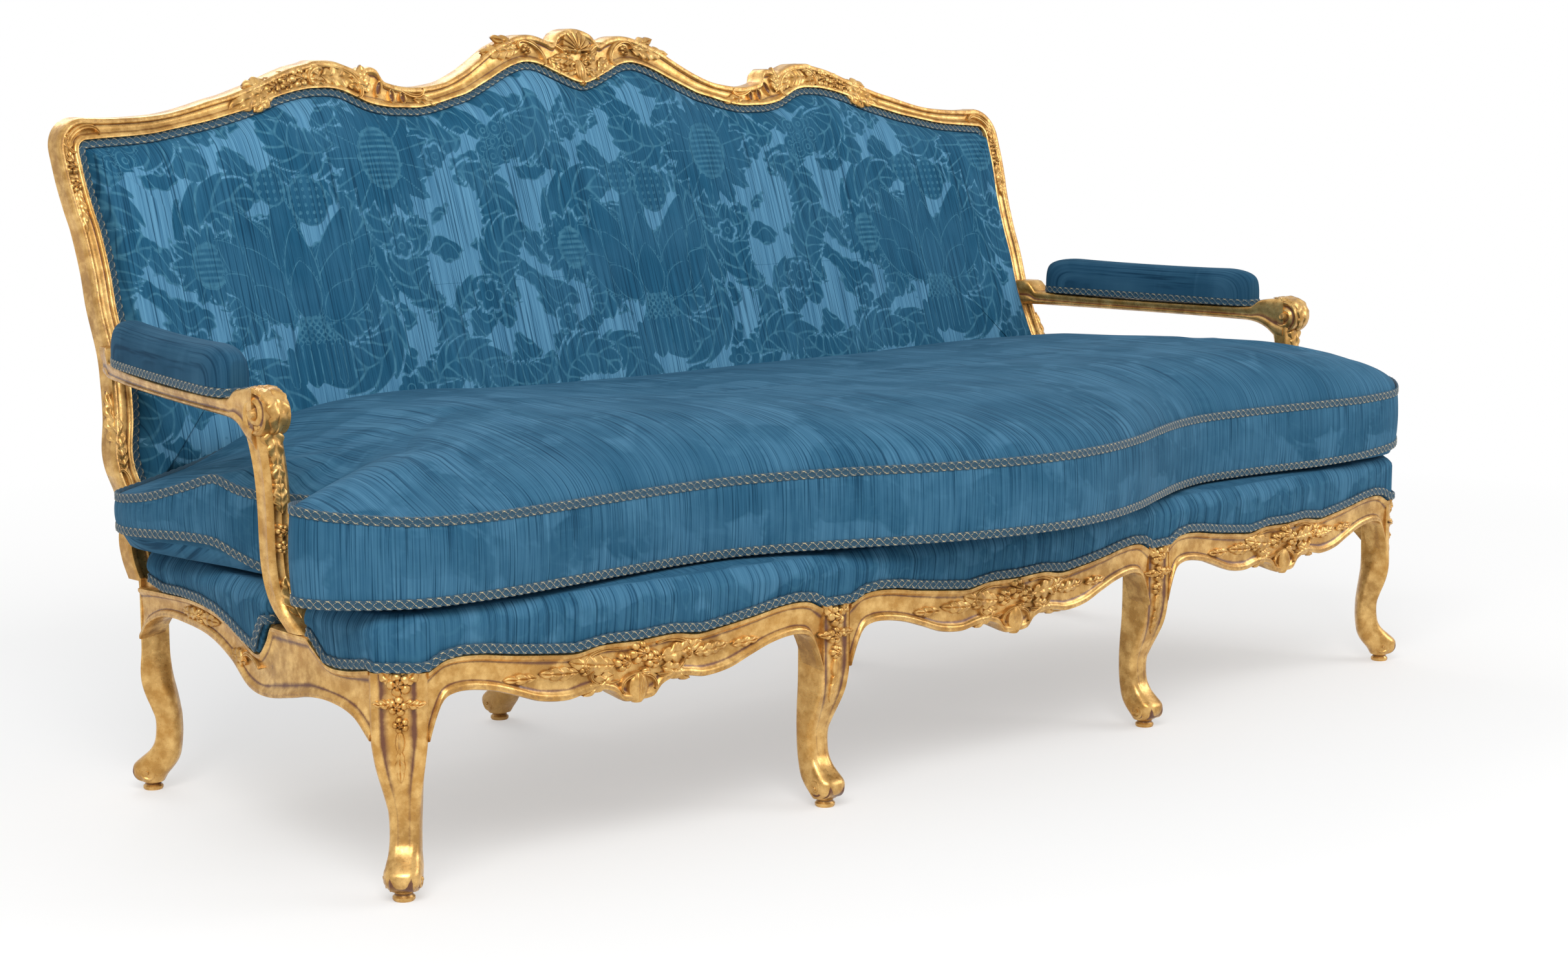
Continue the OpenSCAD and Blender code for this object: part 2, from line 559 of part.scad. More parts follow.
// Section of the crest: [share down the face, how far forward], with the ledge for the webbing
module crest_rail() {
    half = [for (share = crest_station_shares) share * corner_x];
    stations = [for (i = [len(half) - 1:-1:1]) -half[i], each half];
    color(wood) skin([for (x = stations)
        let (high = crest_high_z(x), low = crest_low_z(x))
        [leant(x, high - bead, -back_t), leant(x, high - rim, -bead), leant(x, high - bead, 0),
            leant(x, high - 2 * bead, -hollow), leant(x, low + 2 * bead, -hollow),
            leant(x, low + bead, 0), leant(x, low, -bead), leant(x, low, ledge_t - back_t),
            leant(x, low - ledge_w, ledge_t - back_t), leant(x, low - ledge_w, -back_t)]]);
}

// Bottom rail of the back, between the stiles, with a ledge above for the webbing
module back_bottom_rail() {
    function end_ring(side) =
        let (low = bottom_rail_z, high = bottom_rail_top, top = high + ledge_w)
        [for (p = [[low, -back_t], [low, -bead], [low + bead, 0], [high - bead, 0], [high, -bead],
                [high, ledge_t - back_t], [top, ledge_t - back_t], [top, -back_t]])
            leant(side * (lerp(stile_in(low), stile_in(top), (p[0] - low) / (top - low))
                - touch_gap / 2), p[0], p[1])];
    color(wood) skin([end_ring(-1), end_ring(1)]);
}

// Rails

module front_rail(i) {
    stations = bay_stations(i);
    color(wood) {
        skin([for (x = stations)
            [for (p = rail_section(front_low_z(i, x), front_top_z(i, x)))
                [x, front_face(x) + p[0], p[1]]]]);
        for (end = [stations[0], stations[rail_steps]])
            tenon_along_x(end, front_tenon_y(end), end > bay_centres[i] ? tenon_l - body_overlap / 2
                : body_overlap / 2 - tenon_l);
    }
}

module side_rail() {
    skin([for (share = side_station_shares)
        let (y = side_y(share))
        [for (p = rail_section(side_low_z(y), side_top_z(y))) [side_face(y) - p[0], y, p[1]]]]);
    tenon_along_y(side_tenon_front_x, side_front_y, body_overlap / 2 - tenon_l);
    tenon_along_y(side_tenon_rear_x, rear_face_y, tenon_l - body_overlap / 2);
}

// Plain rear rail between two rear legs
module rear_rail(left, right) {
    color(plain_wood) {
        translate([left, rear_tenon_y - rear_rail_t / 2, frame_top_z - rear_rail_h])
            cube([right - left, rear_rail_t, rear_rail_h]);
        tenon_along_x(left, rear_tenon_y, body_overlap / 2 - tenon_l);
        tenon_along_x(right, rear_tenon_y, tenon_l - body_overlap / 2);
    }
}

// Flat bearer from the front rail to the rear rail beside a middle leg
module cross_bearer(x) {
    front = max(front_face(x - bearer_w / 2), front_face(x + bearer_w / 2)) + rail_t + 2 * touch_gap;
    rear = rear_tenon_y - rear_rail_t / 2 - touch_gap;
    color(plain_wood) translate([x - bearer_w / 2, front, frame_top_z - bearer_t - web_t])
        cube([bearer_w, rear - front, bearer_t]);
}
bearer_x = half_mid + block_reach + bearer_w;

// Arms

arm_back_y = back_y0 + arm_rest_z * lean;
arm_x_shares = [[0, 0], [0.1, 0.17], [0.3, 0.42], [0.55, 0.68], [0.82, 0.9], [1, 1]];
arm_bow = 1.6 * side_taper;
arm_rear_x = stile_out(arm_rest_z) - back_face_w / 3;
function arm_x(y) =
    arm_rear_x + arm_bow * curve(arm_x_shares, (arm_back_y - y) / (arm_back_y - arm_setback));
function arm_lift(y) = arm_rise * (y - arm_setback) / (arm_back_y - arm_setback);
arm_rise_shares = [[0, 0.8], [0.035, 0.72], [0.06, 0], [0.87, 0], [0.91, 0.55], [1, 0.75]];
arm_station_shares = [
    0, 0.035, 0.05, 0.06, 0.15, 0.25, 0.38, 0.5, 0.62, 0.74, 0.87, 0.89, 0.91, 0.95, 1];

// Section of an arm: [sideways share of half the width, share of the height]
arm_section = [
    [-1, 0.25], [-0.6, 0], [0.6, 0], [1, 0.25], [1, 0.85], [0.8, 1], [-0.8, 1], [-1, 0.85]];

function arm_ring(share) =
    let (y = lerp(arm_back_y, arm_setback, share),
        high = arm_t + arm_t * curve(arm_rise_shares, share))
    [for (p = arm_section)
        let (z = arm_low_z + arm_lift(y) + p[1] * high)
        [arm_x(y) + p[0] * arm_w / 2, share == 0 ? leant(0, z, 0).y : y, z]];

arm_scroll_z = arm_low_z + 0.4 * arm_scroll_r;
post_top_z = arm_low_z - 0.1 * arm_t;

module arm() {
    skin([for (share = arm_station_shares) arm_ring(share)]);
    translate([arm_x(arm_setback), arm_setback, arm_scroll_z])
        rotate([0, 90, 0])
            cylinder(r = arm_scroll_r, h = arm_w + rim, center = true);
}

// Path of the arm's post: [share of its height, share of its sweep backwards]
post_path_shares = [
    [0, 0], [0.1, 0.6], [0.2, 0.86], [0.32, 0.94], [0.45, 0.9], [0.6, 0.82], [0.75, 0.8],
    [0.88, 0.87], [1, 1]];
post_depth_shares = [
    [0, 1], [0.07, 0.88], [0.15, 0.84], [0.3, 0.86], [0.6, 0.9], [0.85, 0.98], [1, 1.2]];
post_station_shares = [0, 0.05, 0.1, 0.16, 0.24, 0.34, 0.46, 0.6, 0.74, 0.87, 1];
post_sweep = 50;
post_foot_y = side_y(0.253);
post_foot_x = side_face(post_foot_y) - post_w / 2 + rim;
post_x = arm_x(arm_setback);

// Rings of the post from the side rail up to the arm's scroll
function post_ring(share) =
    let (z = lerp(frame_top_z, post_top_z, share),
        x = lerp(post_foot_x, post_x, share),
        y = post_foot_y + post_sweep * curve(post_path_shares, share),
        half = post_w / 2 * curve(post_depth_shares, share),
        w = post_w / 2)
    [for (p = [[-1, -0.6], [-0.6, -1], [0.6, -1], [1, -0.6], [1, 0.6], [0.6, 1], [-0.6, 1],
            [-1, 0.6]])
        [x + p[0] * w, y + p[1] * half, z]];

module arm_post() {
    difference() {
        skin([for (share = post_station_shares) post_ring(share)]);
        translate([post_x, arm_setback, arm_scroll_z])
            rotate([0, 90, 0])
                cylinder(r = arm_scroll_r + touch_gap / 2, h = 2 * arm_w, center = true);
    }
}

// Soft covers

// Section of an arm pad: a flat base and a full crown
pad_steps = 10;
function pad_ring(y, size) =
    let (w = arm_pad_w / 2 * size, h = arm_pad_h * (0.45 + 0.55 * size))
    [for (i = [0:pad_steps])
        let (a = 180 * i / pad_steps)
        [arm_x(y) + w * sign(cos(a)) * abs(cos(a)) ^ 0.6, y,
            arm_rest_z + arm_lift(y) + touch_gap + gimp_w + (h - gimp_w) * sin(a) ^ 0.6]];

pad_rear_share = 0.09;
pad_front_share = 0.86;
pad_round = 26;
pad_stations = 12;
function pad_y(k) =
    lerp(lerp(arm_back_y, arm_setback, pad_rear_share), lerp(arm_back_y, arm_setback, pad_front_share), k);
function pad_size(y) =
    let (d = min(abs(y - pad_y(0)), abs(y - pad_y(1))) / pad_round)
    d >= 1 ? 1 : 0.55 + 0.45 * sqrt(1 - (1 - d) ^ 2);
function pad_station(i) = pad_y((1 - cos(180 * i / pad_stations)) / 2);
function pad_full_ring(y) =
    let (ring = pad_ring(y, pad_size(y)), low = arm_rest_z + arm_lift(y) + touch_gap)
    concat([[ring[0].x - gimp_t, y, low]], [[ring[0].x - gimp_t, y, low + gimp_w]], ring,
        [[ring[pad_steps].x + gimp_t, y, low + gimp_w]], [[ring[pad_steps].x + gimp_t, y, low]]);

module arm_pad() {
    skin([for (i = [0:pad_stations]) pad_full_ring(pad_station(i))]);
}

// Outline of the pad's foot, followed by its gimp
function pad_foot(i) = let (y = pad_station(i), w = arm_pad_w / 2 * pad_size(y) - gimp_t) [arm_x(y), w, y];
module arm_gimp() {
    left = [for (i = [0:pad_stations]) let (f = pad_foot(i)) [f[0] - f[1], f[2]]];
    right = [for (i = [pad_stations:-1:0]) let (f = pad_foot(i)) [f[0] + f[1], f[2]]];
    path = concat(left, right);
    lows = [for (p = path) arm_rest_z + arm_lift(p.y) + touch_gap];
    highs = [for (z = lows) z + gimp_w - touch_gap];
    skin(strap_rings(path, touch_gap, touch_gap + gimp_t, lows, highs), loop = true);
}

// Unit normals of a closed plan, pointing out of it when it runs anticlockwise
function normals(path) =
    let (n = len(path))
    [for (i = [0:n - 1])
        let (d = path[(i + 1) % n] - path[(i + n - 1) % n], l = norm(d))
        [d.y, -d.x] / l];

// Rings of an upright strap outside a closed plan, between two offsets and two heights
function strap_rings(path, near, far, low, high) =
    let (out = normals(path))
    [for (i = [0:len(path) - 1])
        let (a = path[i] + out[i] * near, b = path[i] + out[i] * far)
        [[a.x, a.y, low[i]], [b.x, b.y, low[i]], [b.x, b.y, high[i]], [a.x, a.y, high[i]]]];

strap_shares = [0.1, 0.48, 0.8];

// Webbing straps laid front to rear, with three long straps over them
module seat_webbing() {
    run = 2 * (half_mid + bay_halves[0]);
    rear = rear_tenon_y + rear_rail_t / 2 - rim;
    color(jute) {
        for (i = [0:web_count - 1]) {
            x = (i + 0.5) / web_count * run - run / 2;
            front = front_face(x) + rebate + rim + block_nib;
            translate([x - web_w / 2, front, frame_top_z]) cube([web_w, rear - front, web_t]);
        }
        for (share = strap_shares) {
            y = lerp(front_face_y + rail_t, rear_face_y, share);
            notched = y + web_w > side_y(notch_shares[0].x) && y - web_w < side_y(notch_shares[3].x);
            half = side_face(y + web_w / 2) - rebate - rim - (notched ? notch_depth : 0);
            translate([-half, y - web_w / 2, frame_top_z + web_t])
                cube([2 * half, web_w, web_t]);
        }
    }
}

// Plan of the fixed seat on the right: [point on the rail's face, way inwards, lip, notch]
front_stations = concat([for (x = bay_stations(2)) [x, 2]], [for (x = bay_stations(1)) [x, 1]]);
deck_rear_y = rear_tenon_y + rear_rail_t / 2 - rim;
deck_side_end = rear_face_y - soft_gap - deck_swell;
deck_inner_x = stile_in(frame_top_z) - 2 * soft_gap - rim;
deck_inner_shares = [[0.93, 0.88], [0.62, 0.3]];
rear_points_shares = [0, 0.18, 0.36, 0.54, 0.72, 0.88, 1];

function deck_front() =
    [for (s = [rail_steps:-1:0]) let (x = bay_stations(2)[s]) deck_front_point(x, 2),
        for (s = [rail_steps:-1:rail_steps / 2]) let (x = bay_stations(1)[s])
            deck_front_point(x, 1)];
function deck_front_point(x, i) =
    let (beside_leg = abs(x - bay_centres[i]) > rail_stretch(i) - rim,
        low = max(front_top_z(i, x), beside_leg ? leg_crest_z : 0))
    [[x, front_face(x)], [0, 1], low + soft_gap, 0, 1 - (x / front_end_x) ^ 6];
function side_lip_z(share) =
    max(lerp(side_top_z(side_y(share)), frame_top_z, lookup(share, side_lip_shares)),
        share > 0 ? 0 : leg_crest_z) + soft_gap;
function deck_side() =
    [for (s = [len(side_station_shares) - 2:-1:0])
        let (y = side_y(side_station_shares[s]))
        [[side_face(y), y], [-1, 0], side_lip_z(side_station_shares[s]),
            lookup(side_station_shares[s], notch_shares), 1]];
function deck_corner() =
    let (b = corner_outer, c = block_chamfer)
    [[[b.x, b.y + c], [-0.9, 0.45], leg_crest_z + soft_gap, 0, 0.4],
        [[b.x - c / 2, b.y + c / 2], [-0.707, 0.707], leg_crest_z + soft_gap, 0, 0],
        [[b.x - c, b.y], [-0.45, 0.9], leg_crest_z + soft_gap, 0, 0]];
function deck_rear() =
    [for (share = rear_points_shares)
        [[share * deck_inner_x, deck_rear_y], [0, -1], deck_z, 0, 0],
        [[deck_inner_x, deck_side_end], [-1, 0], deck_z, 0, 0]];
deck_half = concat(deck_rear(), deck_side(), deck_corner(), deck_front());
deck_plan = concat(deck_half, [for (i = [len(deck_half) - 2:-1:1])
    let (p = deck_half[i]) [[-p[0].x, p[0].y], [-p[1].x, p[1].y], p[2], p[3], p[4]]]);

notch_depth = post_w - rim + deck_swell + soft_gap;

// A ring of the fixed seat: how far in from the rails' faces, and a share of the height
// between the lip and the frame's top, or a height above the frame
function deck_ring(inset, share, above = 0) =
    [for (p = deck_plan)
        let (in = (inset < 0 ? inset * p[4] : inset) + p[3] * notch_depth,
            z = lerp(min(p[2], deck_z), deck_z, share) + above)
        [p[0].x + in * p[1].x, p[0].y + in * p[1].y, z]];

// The seat's outline without its notches, drawn in by shares of its width and depth
function drawn_in(width_share, depth_share, z) =
    [for (p = deck_plan)
        [p[0].x * width_share, lerp(seat_d / 2, p[0].y, depth_share), z]];

deck_skirt = rebate - soft_gap;

module seat_stuffed_cover() {
    color(velvet) skin([
        drawn_in(deck_inner_shares[1].x, deck_inner_shares[1].y, deck_z),
        drawn_in(deck_inner_shares[0].x, deck_inner_shares[0].y, deck_z),
        deck_ring(deck_skirt, 1),
        deck_ring(deck_skirt, 0),
        deck_ring(gimp_t / 2, 0),
        deck_ring(touch_gap - deck_swell / 2, 0, soft_gap + rim + gimp_w + touch_gap),
        deck_ring(-deck_swell, 1, deck_h * 0.37),
        deck_ring(-deck_swell * 0.4, 1, deck_h * 0.62),
        deck_ring(deck_skirt, 1, deck_h * 0.86),
        drawn_in(deck_inner_shares[0].x, deck_inner_shares[0].y, lerp(deck_z, deck_top_z, 0.965)),
        drawn_in(deck_inner_shares[1].x, deck_inner_shares[1].y, deck_top_z)]);
}

// Hessian under the stuffing
module seat_hessian() {
    edge = deck_ring(rebate + rim, 1);
    color(linen) translate([0, 0, hessian_z]) linear_extrude(hessian_t)
        polygon([for (p = edge) [p.x, p.y]]);
}

// Gimp along the lower edge of the fixed seat, from one stile round the front to the other
module seat_gimp() {
    n = len(deck_rear());
    m = len(deck_half);
    half = [for (i = [n:m - 1]) deck_half[i]];
    line = concat(half, [for (i = [len(half) - 2:-1:0])
        let (p = half[i]) [[-p[0].x, p[0].y], [-p[1].x, p[1].y], p[2], p[3], p[4]]]);
    color(braid) skin([for (p = line)
        let (in = p[3] * notch_depth, low = min(p[2], frame_top_z) + soft_gap)
        [for (q = [[-deck_swell / 2 - gimp_t, rim], [-deck_swell / 2, rim],
                [-deck_swell / 2, rim + gimp_w], [-deck_swell / 2 - gimp_t, rim + gimp_w]])
            [p[0].x + (in + q[0]) * p[1].x, p[0].y + (in + q[0]) * p[1].y, low + q[1]]]]);
}

// Opening of the back frame, as an upright outline: [x, height], anticlockwise from the bottom
opening_side_steps = 9;
function opening_right(gap) =
    [for (i = [0:opening_side_steps])
        let (z = lerp(bottom_rail_top + gap, corner_z, i / opening_side_steps))
        [stile_in(z) - gap, z]];
function opening_corner(gap) =
    let (r = corner_r - back_face_w - gap)
    [for (i = [1:3]) [corner_x + r * cos(22.5 * i), corner_z + r * sin(22.5 * i)]];
function opening_top(gap) =
    [for (i = [len(crest_station_shares) - 1:-1:0])
        let (x = crest_station_shares[i] * corner_x)
        [x, crest_low_z(x) - gap]];
function opening_floor(gap) =
    [for (share = [0, 0.25, 0.5, 0.75])
        [share * (stile_in(bottom_rail_top) - gap), bottom_rail_top + gap]];
function opening(gap) =
    let (half = concat(opening_floor(gap), opening_right(gap), opening_corner(gap), opening_top(gap)))
    concat(half, [for (i = [len(half) - 2:-1:1]) [-half[i].x, half[i].y]]);

back_middle_z = (bottom_rail_top + shoulder_z) / 2;
function back_ring(path, share, n) =
    [for (p = path)
        let (cx = min(max(p.x, -corner_x * cushion_spine_share), corner_x * cushion_spine_share))
        leant(lerp(p.x, cx, share), lerp(p.y, back_middle_z, share), n)];
function inset_path(path, d) =
    let (out = normals(path)) [for (i = [0:len(path) - 1]) path[i] - out[i] * d];

ledge_n = ledge_t - back_t;
web_n = ledge_n + touch_gap;
back_hessian_n = web_n + 2 * web_t;
stuffing_n = back_hessian_n + hessian_t + touch_gap;
gimp_bed_n = -bead - gimp_t / 2;

// Upright straps of webbing in the back, with two level ones behind the upholstery
module back_webbing() {
    half = stile_in(back_middle_z) - web_w;
    color(jute) {
        for (i = [0:back_web_count - 1]) {
            x = lerp(-half, half, (i + 0.5) / back_web_count);
            low = bottom_rail_top + touch_gap;
            high = min(crest_low_z(x), crest_low_z(x - web_w / 2), crest_low_z(x + web_w / 2))
                - touch_gap;
            skin([[for (p = [[-1, 0], [1, 0], [1, web_t], [-1, web_t]])
                    leant(x + p[0] * web_w / 2, low, web_n + p[1])],
                [for (p = [[-1, 0], [1, 0], [1, web_t], [-1, web_t]])
                    leant(x + p[0] * web_w / 2, high, web_n + p[1])]]);
        }
        for (share = [0.35, 0.7]) {
            z = lerp(bottom_rail_top, shoulder_z - back_face_w, share);
            reach = stile_in(z) - rim;
            skin([for (side = [-1, 1])
                [for (p = [[-1, web_t], [1, web_t], [1, 2 * web_t], [-1, 2 * web_t]])
                    leant(side * reach, z + p[0] * web_w / 2, web_n + p[1])]]);
        }
    }
}

module back_hessian() {
    path = opening(soft_gap);
    color(linen) skin([back_ring(path, 0, back_hessian_n), back_ring(path, 0, back_hessian_n + hessian_t)]);
}

module back_stuffed_cover() {
    path = opening(soft_gap);
    bed = inset_path(path, gimp_w + touch_gap);
    color(velvet) skin([
        back_ring(path, 0, stuffing_n),
        back_ring(path, 0, gimp_bed_n),
        back_ring(bed, 0, gimp_bed_n),
        back_ring(bed, 0.01, back_swell * 0.2),
        back_ring(bed, 0.09, back_swell * 0.68),
        back_ring(bed, 0.3, back_swell * 0.93),
        back_ring(bed, 0.75, back_swell)]);
}

// Gimp in the bed round the stuffed back
module back_gimp() {
    path = opening(soft_gap);
    out = normals(path);
    color(braid) skin([for (i = [0:len(path) - 1])
        [for (q = [[touch_gap, touch_gap], [gimp_w - touch_gap, touch_gap],
                [gimp_w - touch_gap, gimp_t], [touch_gap, gimp_t]])
            let (p = path[i] - out[i] * q[0]) leant(p.x, p.y, gimp_bed_n + q[1])]], loop = true);
}

// Cloth over the rear of the back frame
module outside_back_cover() {
    cover_in = back_face_w * 0.5;
    path = opening(-back_face_w + cover_in);
    near = -back_t - touch_gap;
    color(velvet) skin([back_ring(path, 0, near), back_ring(path, 0, near - cover_t)]);
}

// Half the width of the cushion across its front lobes
notch_x_share = 0.866;
cushion_half_w = (post_foot_x - post_w / 2 - cushion_post_gap) / notch_x_share;

// Plan of the loose cushion: it notches round the arm posts and swells in front of them.
// Each point is [x, y, height of the lower seam, height of the upper seam].
cushion_half = [for (p = cushion_plan_shares)
    let (lift = p[1] < seat_d_notch_share ? lookup(p[0], right_lift_shares) : 0)
        [p[0] * cushion_half_w, p[1] * seat_d, cushion_z + (p[2] + lift) * cushion_border,
            cushion_z + p[3] * cushion_border, cushion_z + p[2] * cushion_border]];
cushion_plan = concat(cushion_half, [for (i = [len(cushion_half) - 2:-1:1])
    let (p = cushion_half[i]) [-p[0], p[1], p[4], p[3]]]);
cushion_inner_half = [for (p = cushion_inner_shares)
    [p[0] * cushion_half_w, p[1] * seat_d, top_seam_z + p[2] * cushion_crown,
        top_seam_z + p[3] * cushion_crown]];
cushion_inner = concat(cushion_inner_half, [for (i = [len(cushion_inner_half) - 2:-1:1])
    let (p = cushion_inner_half[i]) [-p[0], p[1], p[3]]]);
cushion_out = normals([for (i = [len(cushion_plan) - 1:-1:0])
    [cushion_plan[i].x, cushion_plan[i].y]]);

// A ring of the cushion's border: offset outwards and share of the height between the seams
function border_ring(offset, share, lift = 0) =
    let (n = len(cushion_plan))
    [for (i = [0:n - 1])
        let (p = cushion_plan[i], q = cushion_out[n - 1 - i] * offset,
            back = p[1] > 0.98 * seat_d ? cushion_lean * max(min(p[3], cushion_z + 1.3 * cushion_border) - top_seam_z, 0) / (0.3 * cushion_border) * share : 0)
        [p[0] + q.x, p[1] + q.y + back, lerp(p[2], p[3], share) + lift]];

// A ring of the cushion's top or bottom, drawn in towards its long middle line
function panel_ring(inwards, share, rise) =
    let (edge = border_ring(0, share))
    [for (i = [0:len(edge) - 1])
        let (p = edge[i], q = cushion_inner[i],
            straight = lookup(abs(p.x) / cushion_half_w,
                p.x > 0 ? straight_right_shares : straight_left_shares))
        [lerp(p.x, q.x, inwards), lerp(p.y, q.y, inwards),
            share == 0 ? lerp(p.z, cushion_z, rise)
                : lerp(p.z, q.z, lerp(rise, inwards ^ 0.85, straight))]];

module seat_cushion() {
    half_gimp = gimp_w / 2;
    color(velvet) skin([
        panel_ring(0.8, 0, 1),
        panel_ring(0.12, 0, 1),
        panel_ring(0.02, 0, 0.85),
        border_ring(0, 0, -half_gimp),
        border_ring(0, 0, half_gimp),
        border_ring(border_swell * 0.8, 0.3),
        border_ring(border_swell, 0.5),
        border_ring(border_swell * 0.8, 0.7),
        border_ring(0, 1, -half_gimp),
        border_ring(0, 1, half_gimp),
        panel_ring(0.04, 1, 0.3),
        panel_ring(0.12, 1, 0.56),
        panel_ring(0.26, 1, 0.78),
        panel_ring(0.5, 1, 0.95),
        panel_ring(0.9, 1, 1)]);
}

// Gimp over a seam of the cushion: share 0 is the lower seam and 1 the upper seam
module cushion_gimp(share) {
    half_gimp = gimp_w / 2 - touch_gap;
    a = border_ring(touch_gap, share, -half_gimp);
    b = border_ring(gimp_t, share, -half_gimp);
    c = border_ring(gimp_t, share, half_gimp);
    d = border_ring(touch_gap, share, half_gimp);
    color(braid) skin([for (i = [0:len(a) - 1]) [a[i], b[i], c[i], d[i]]], loop = true);
}

placed() crest_rail();
color(wood) placed() sided(-1) back_stile();  // back_stile_left
color(wood) placed() back_stile();  // back_stile_right
placed() back_bottom_rail();
color(wood) placed() sided(-1) corner_leg();  // leg_front_left
color(wood) placed() sided(-1) mid_leg();  // leg_front_mid_left
color(wood) placed() mid_leg();  // leg_front_mid_right
color(wood) placed() corner_leg();  // leg_front_right
color(wood) placed() sided(-1) rear_mid_leg();  // leg_rear_mid_left
color(wood) placed() rear_mid_leg();  // leg_rear_mid_right
placed() front_rail(0);  // front_rail_left
placed() front_rail(1);  // front_rail_centre
placed() front_rail(2);  // front_rail_right
color(wood) placed() sided(-1) side_rail();  // side_rail_left
color(wood) placed() side_rail();  // side_rail_right
placed() rear_rail(-rear_inner.x, -half_mid - block_reach);  // rear_rail_left
placed() rear_rail(block_reach - half_mid, half_mid - block_reach);  // rear_rail_centre
placed() rear_rail(half_mid + block_reach, rear_inner.x);  // rear_rail_right
placed() cross_bearer(-bearer_x);  // cross_bearer_left
placed() cross_bearer(bearer_x);  // cross_bearer_right
color(wood) placed() sided(-1) arm();  // arm_left
color(wood) placed() arm();  // arm_right
color(wood) placed() sided(-1) arm_post();  // arm_post_left
color(wood) placed() arm_post();  // arm_post_right
placed() seat_webbing();
placed() seat_hessian();
placed() seat_stuffed_cover();
placed() seat_gimp();
placed() back_webbing();
placed() back_hessian();
placed() back_stuffed_cover();
placed() back_gimp();
placed() outside_back_cover();
color(velvet) placed() sided(-1) arm_pad();  // arm_pad_left
color(velvet) placed() arm_pad();  // arm_pad_right
color(braid) placed() sided(-1) arm_gimp();  // arm_gimp_left
color(braid) placed() arm_gimp();  // arm_gimp_right
placed() seat_cushion();
placed() cushion_gimp(1);  // cushion_gimp_top
placed() cushion_gimp(0);  // cushion_gimp_bottom
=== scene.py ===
import math

import bmesh
import bpy
import numpy as np
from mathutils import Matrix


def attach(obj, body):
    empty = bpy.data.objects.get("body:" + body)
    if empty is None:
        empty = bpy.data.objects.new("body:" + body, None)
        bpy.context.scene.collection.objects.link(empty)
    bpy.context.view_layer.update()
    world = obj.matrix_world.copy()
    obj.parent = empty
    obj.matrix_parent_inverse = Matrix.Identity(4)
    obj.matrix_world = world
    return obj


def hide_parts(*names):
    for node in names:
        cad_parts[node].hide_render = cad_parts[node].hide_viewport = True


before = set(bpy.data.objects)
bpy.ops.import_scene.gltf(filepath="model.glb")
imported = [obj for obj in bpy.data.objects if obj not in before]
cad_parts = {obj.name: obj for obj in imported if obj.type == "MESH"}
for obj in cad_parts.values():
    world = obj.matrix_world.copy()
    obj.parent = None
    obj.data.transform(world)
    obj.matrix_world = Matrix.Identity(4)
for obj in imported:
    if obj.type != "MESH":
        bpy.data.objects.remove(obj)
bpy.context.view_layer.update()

# Main sizes of the sofa in metres and its rake in degrees, the same values as its CAD source
sofa = {
    "height": 1.070, "rake": 18.2, "frontSpan": 2.050, "seatDepth": 0.682, "midSpan": 0.690,
    "midForward": 0.036, "sideTaper": 0.062, "padRadius": 0.014, "kneeOut": 0.025,
    "frameTop": 0.305, "railThick": 0.040, "block": 0.050, "rearBlock": 0.043, "blockCut": 0.036,
    "frontBow": 0.053, "faceWidth": 0.032, "backThick": 0.040, "cornerRadius": 0.048,
    "bottomRailHigh": 0.420, "shoulder": 0.933, "armLow": 0.565,
    "armThick": 0.024, "armWidth": 0.040, "armScroll": 0.030, "armRise": 0.010,
    "armSetback": 0.228, "postWidth": 0.036, "gimpWide": 0.012, "gimpThick": 0.003,
    "rebate": 0.009, "nib": 0.002, "webThick": 0.003, "hessianThick": 0.001, "deckHeight": 0.050,
    "clearance": 0.0003,
}
lean = math.tan(math.radians(sofa["rake"]))
halfFront = sofa["frontSpan"] / 2
halfMid = sofa["midSpan"] / 2
halfRear = halfFront - sofa["sideTaper"]
blockReach = sofa["block"] / 2
frontFaceY = -0.44 * sofa["block"]
rearFaceY = sofa["seatDepth"] - sofa["rearBlock"] / 2
rearOuterY = sofa["seatDepth"] + sofa["rearBlock"] / 2
backY0 = rearFaceY + 0.003 - sofa["frameTop"] * lean
halfCrest = halfRear + 0.24 * sofa["sideTaper"]
cornerX = halfCrest - sofa["cornerRadius"]
cornerZ = sofa["shoulder"] - sofa["cornerRadius"]
armRest = sofa["armLow"] + sofa["armThick"]
midY = (backY0 + sofa["height"] * lean + sofa["backThick"] - 0.24 * sofa["seatDepth"] - sofa["gimpThick"]) / 2


# A smooth curve through pairs, level beyond its ends
def curveAt(pairs, x):
    t = np.asarray(pairs, float)
    x = np.asarray(x, float)
    i = np.clip(np.searchsorted(t[:, 0], x, side="right") - 1, 0, len(t) - 2)
    before = np.maximum(np.arange(len(t)) - 1, 0)
    after = np.minimum(np.arange(len(t)) + 1, len(t) - 1)
    slope = (t[after, 1] - t[before, 1]) / (t[after, 0] - t[before, 0])
    w = t[i + 1, 0] - t[i, 0]
    k = np.clip((x - t[i, 0]) / w, 0, 1)
    return (t[i, 1] * (2 * k**3 - 3 * k**2 + 1) + slope[i] * w * (k**3 - 2 * k**2 + k)
            + t[i + 1, 1] * (3 * k**2 - 2 * k**3) + slope[i + 1] * w * (k**3 - k**2))


def bothSides(pairs):
    return [[-a, b] for a, b in reversed(pairs[1:])] + list(pairs)


def easeStep(a, b, x):
    k = np.clip((x - a) / (b - a), 0, 1)
    return k * k * (3 - 2 * k)


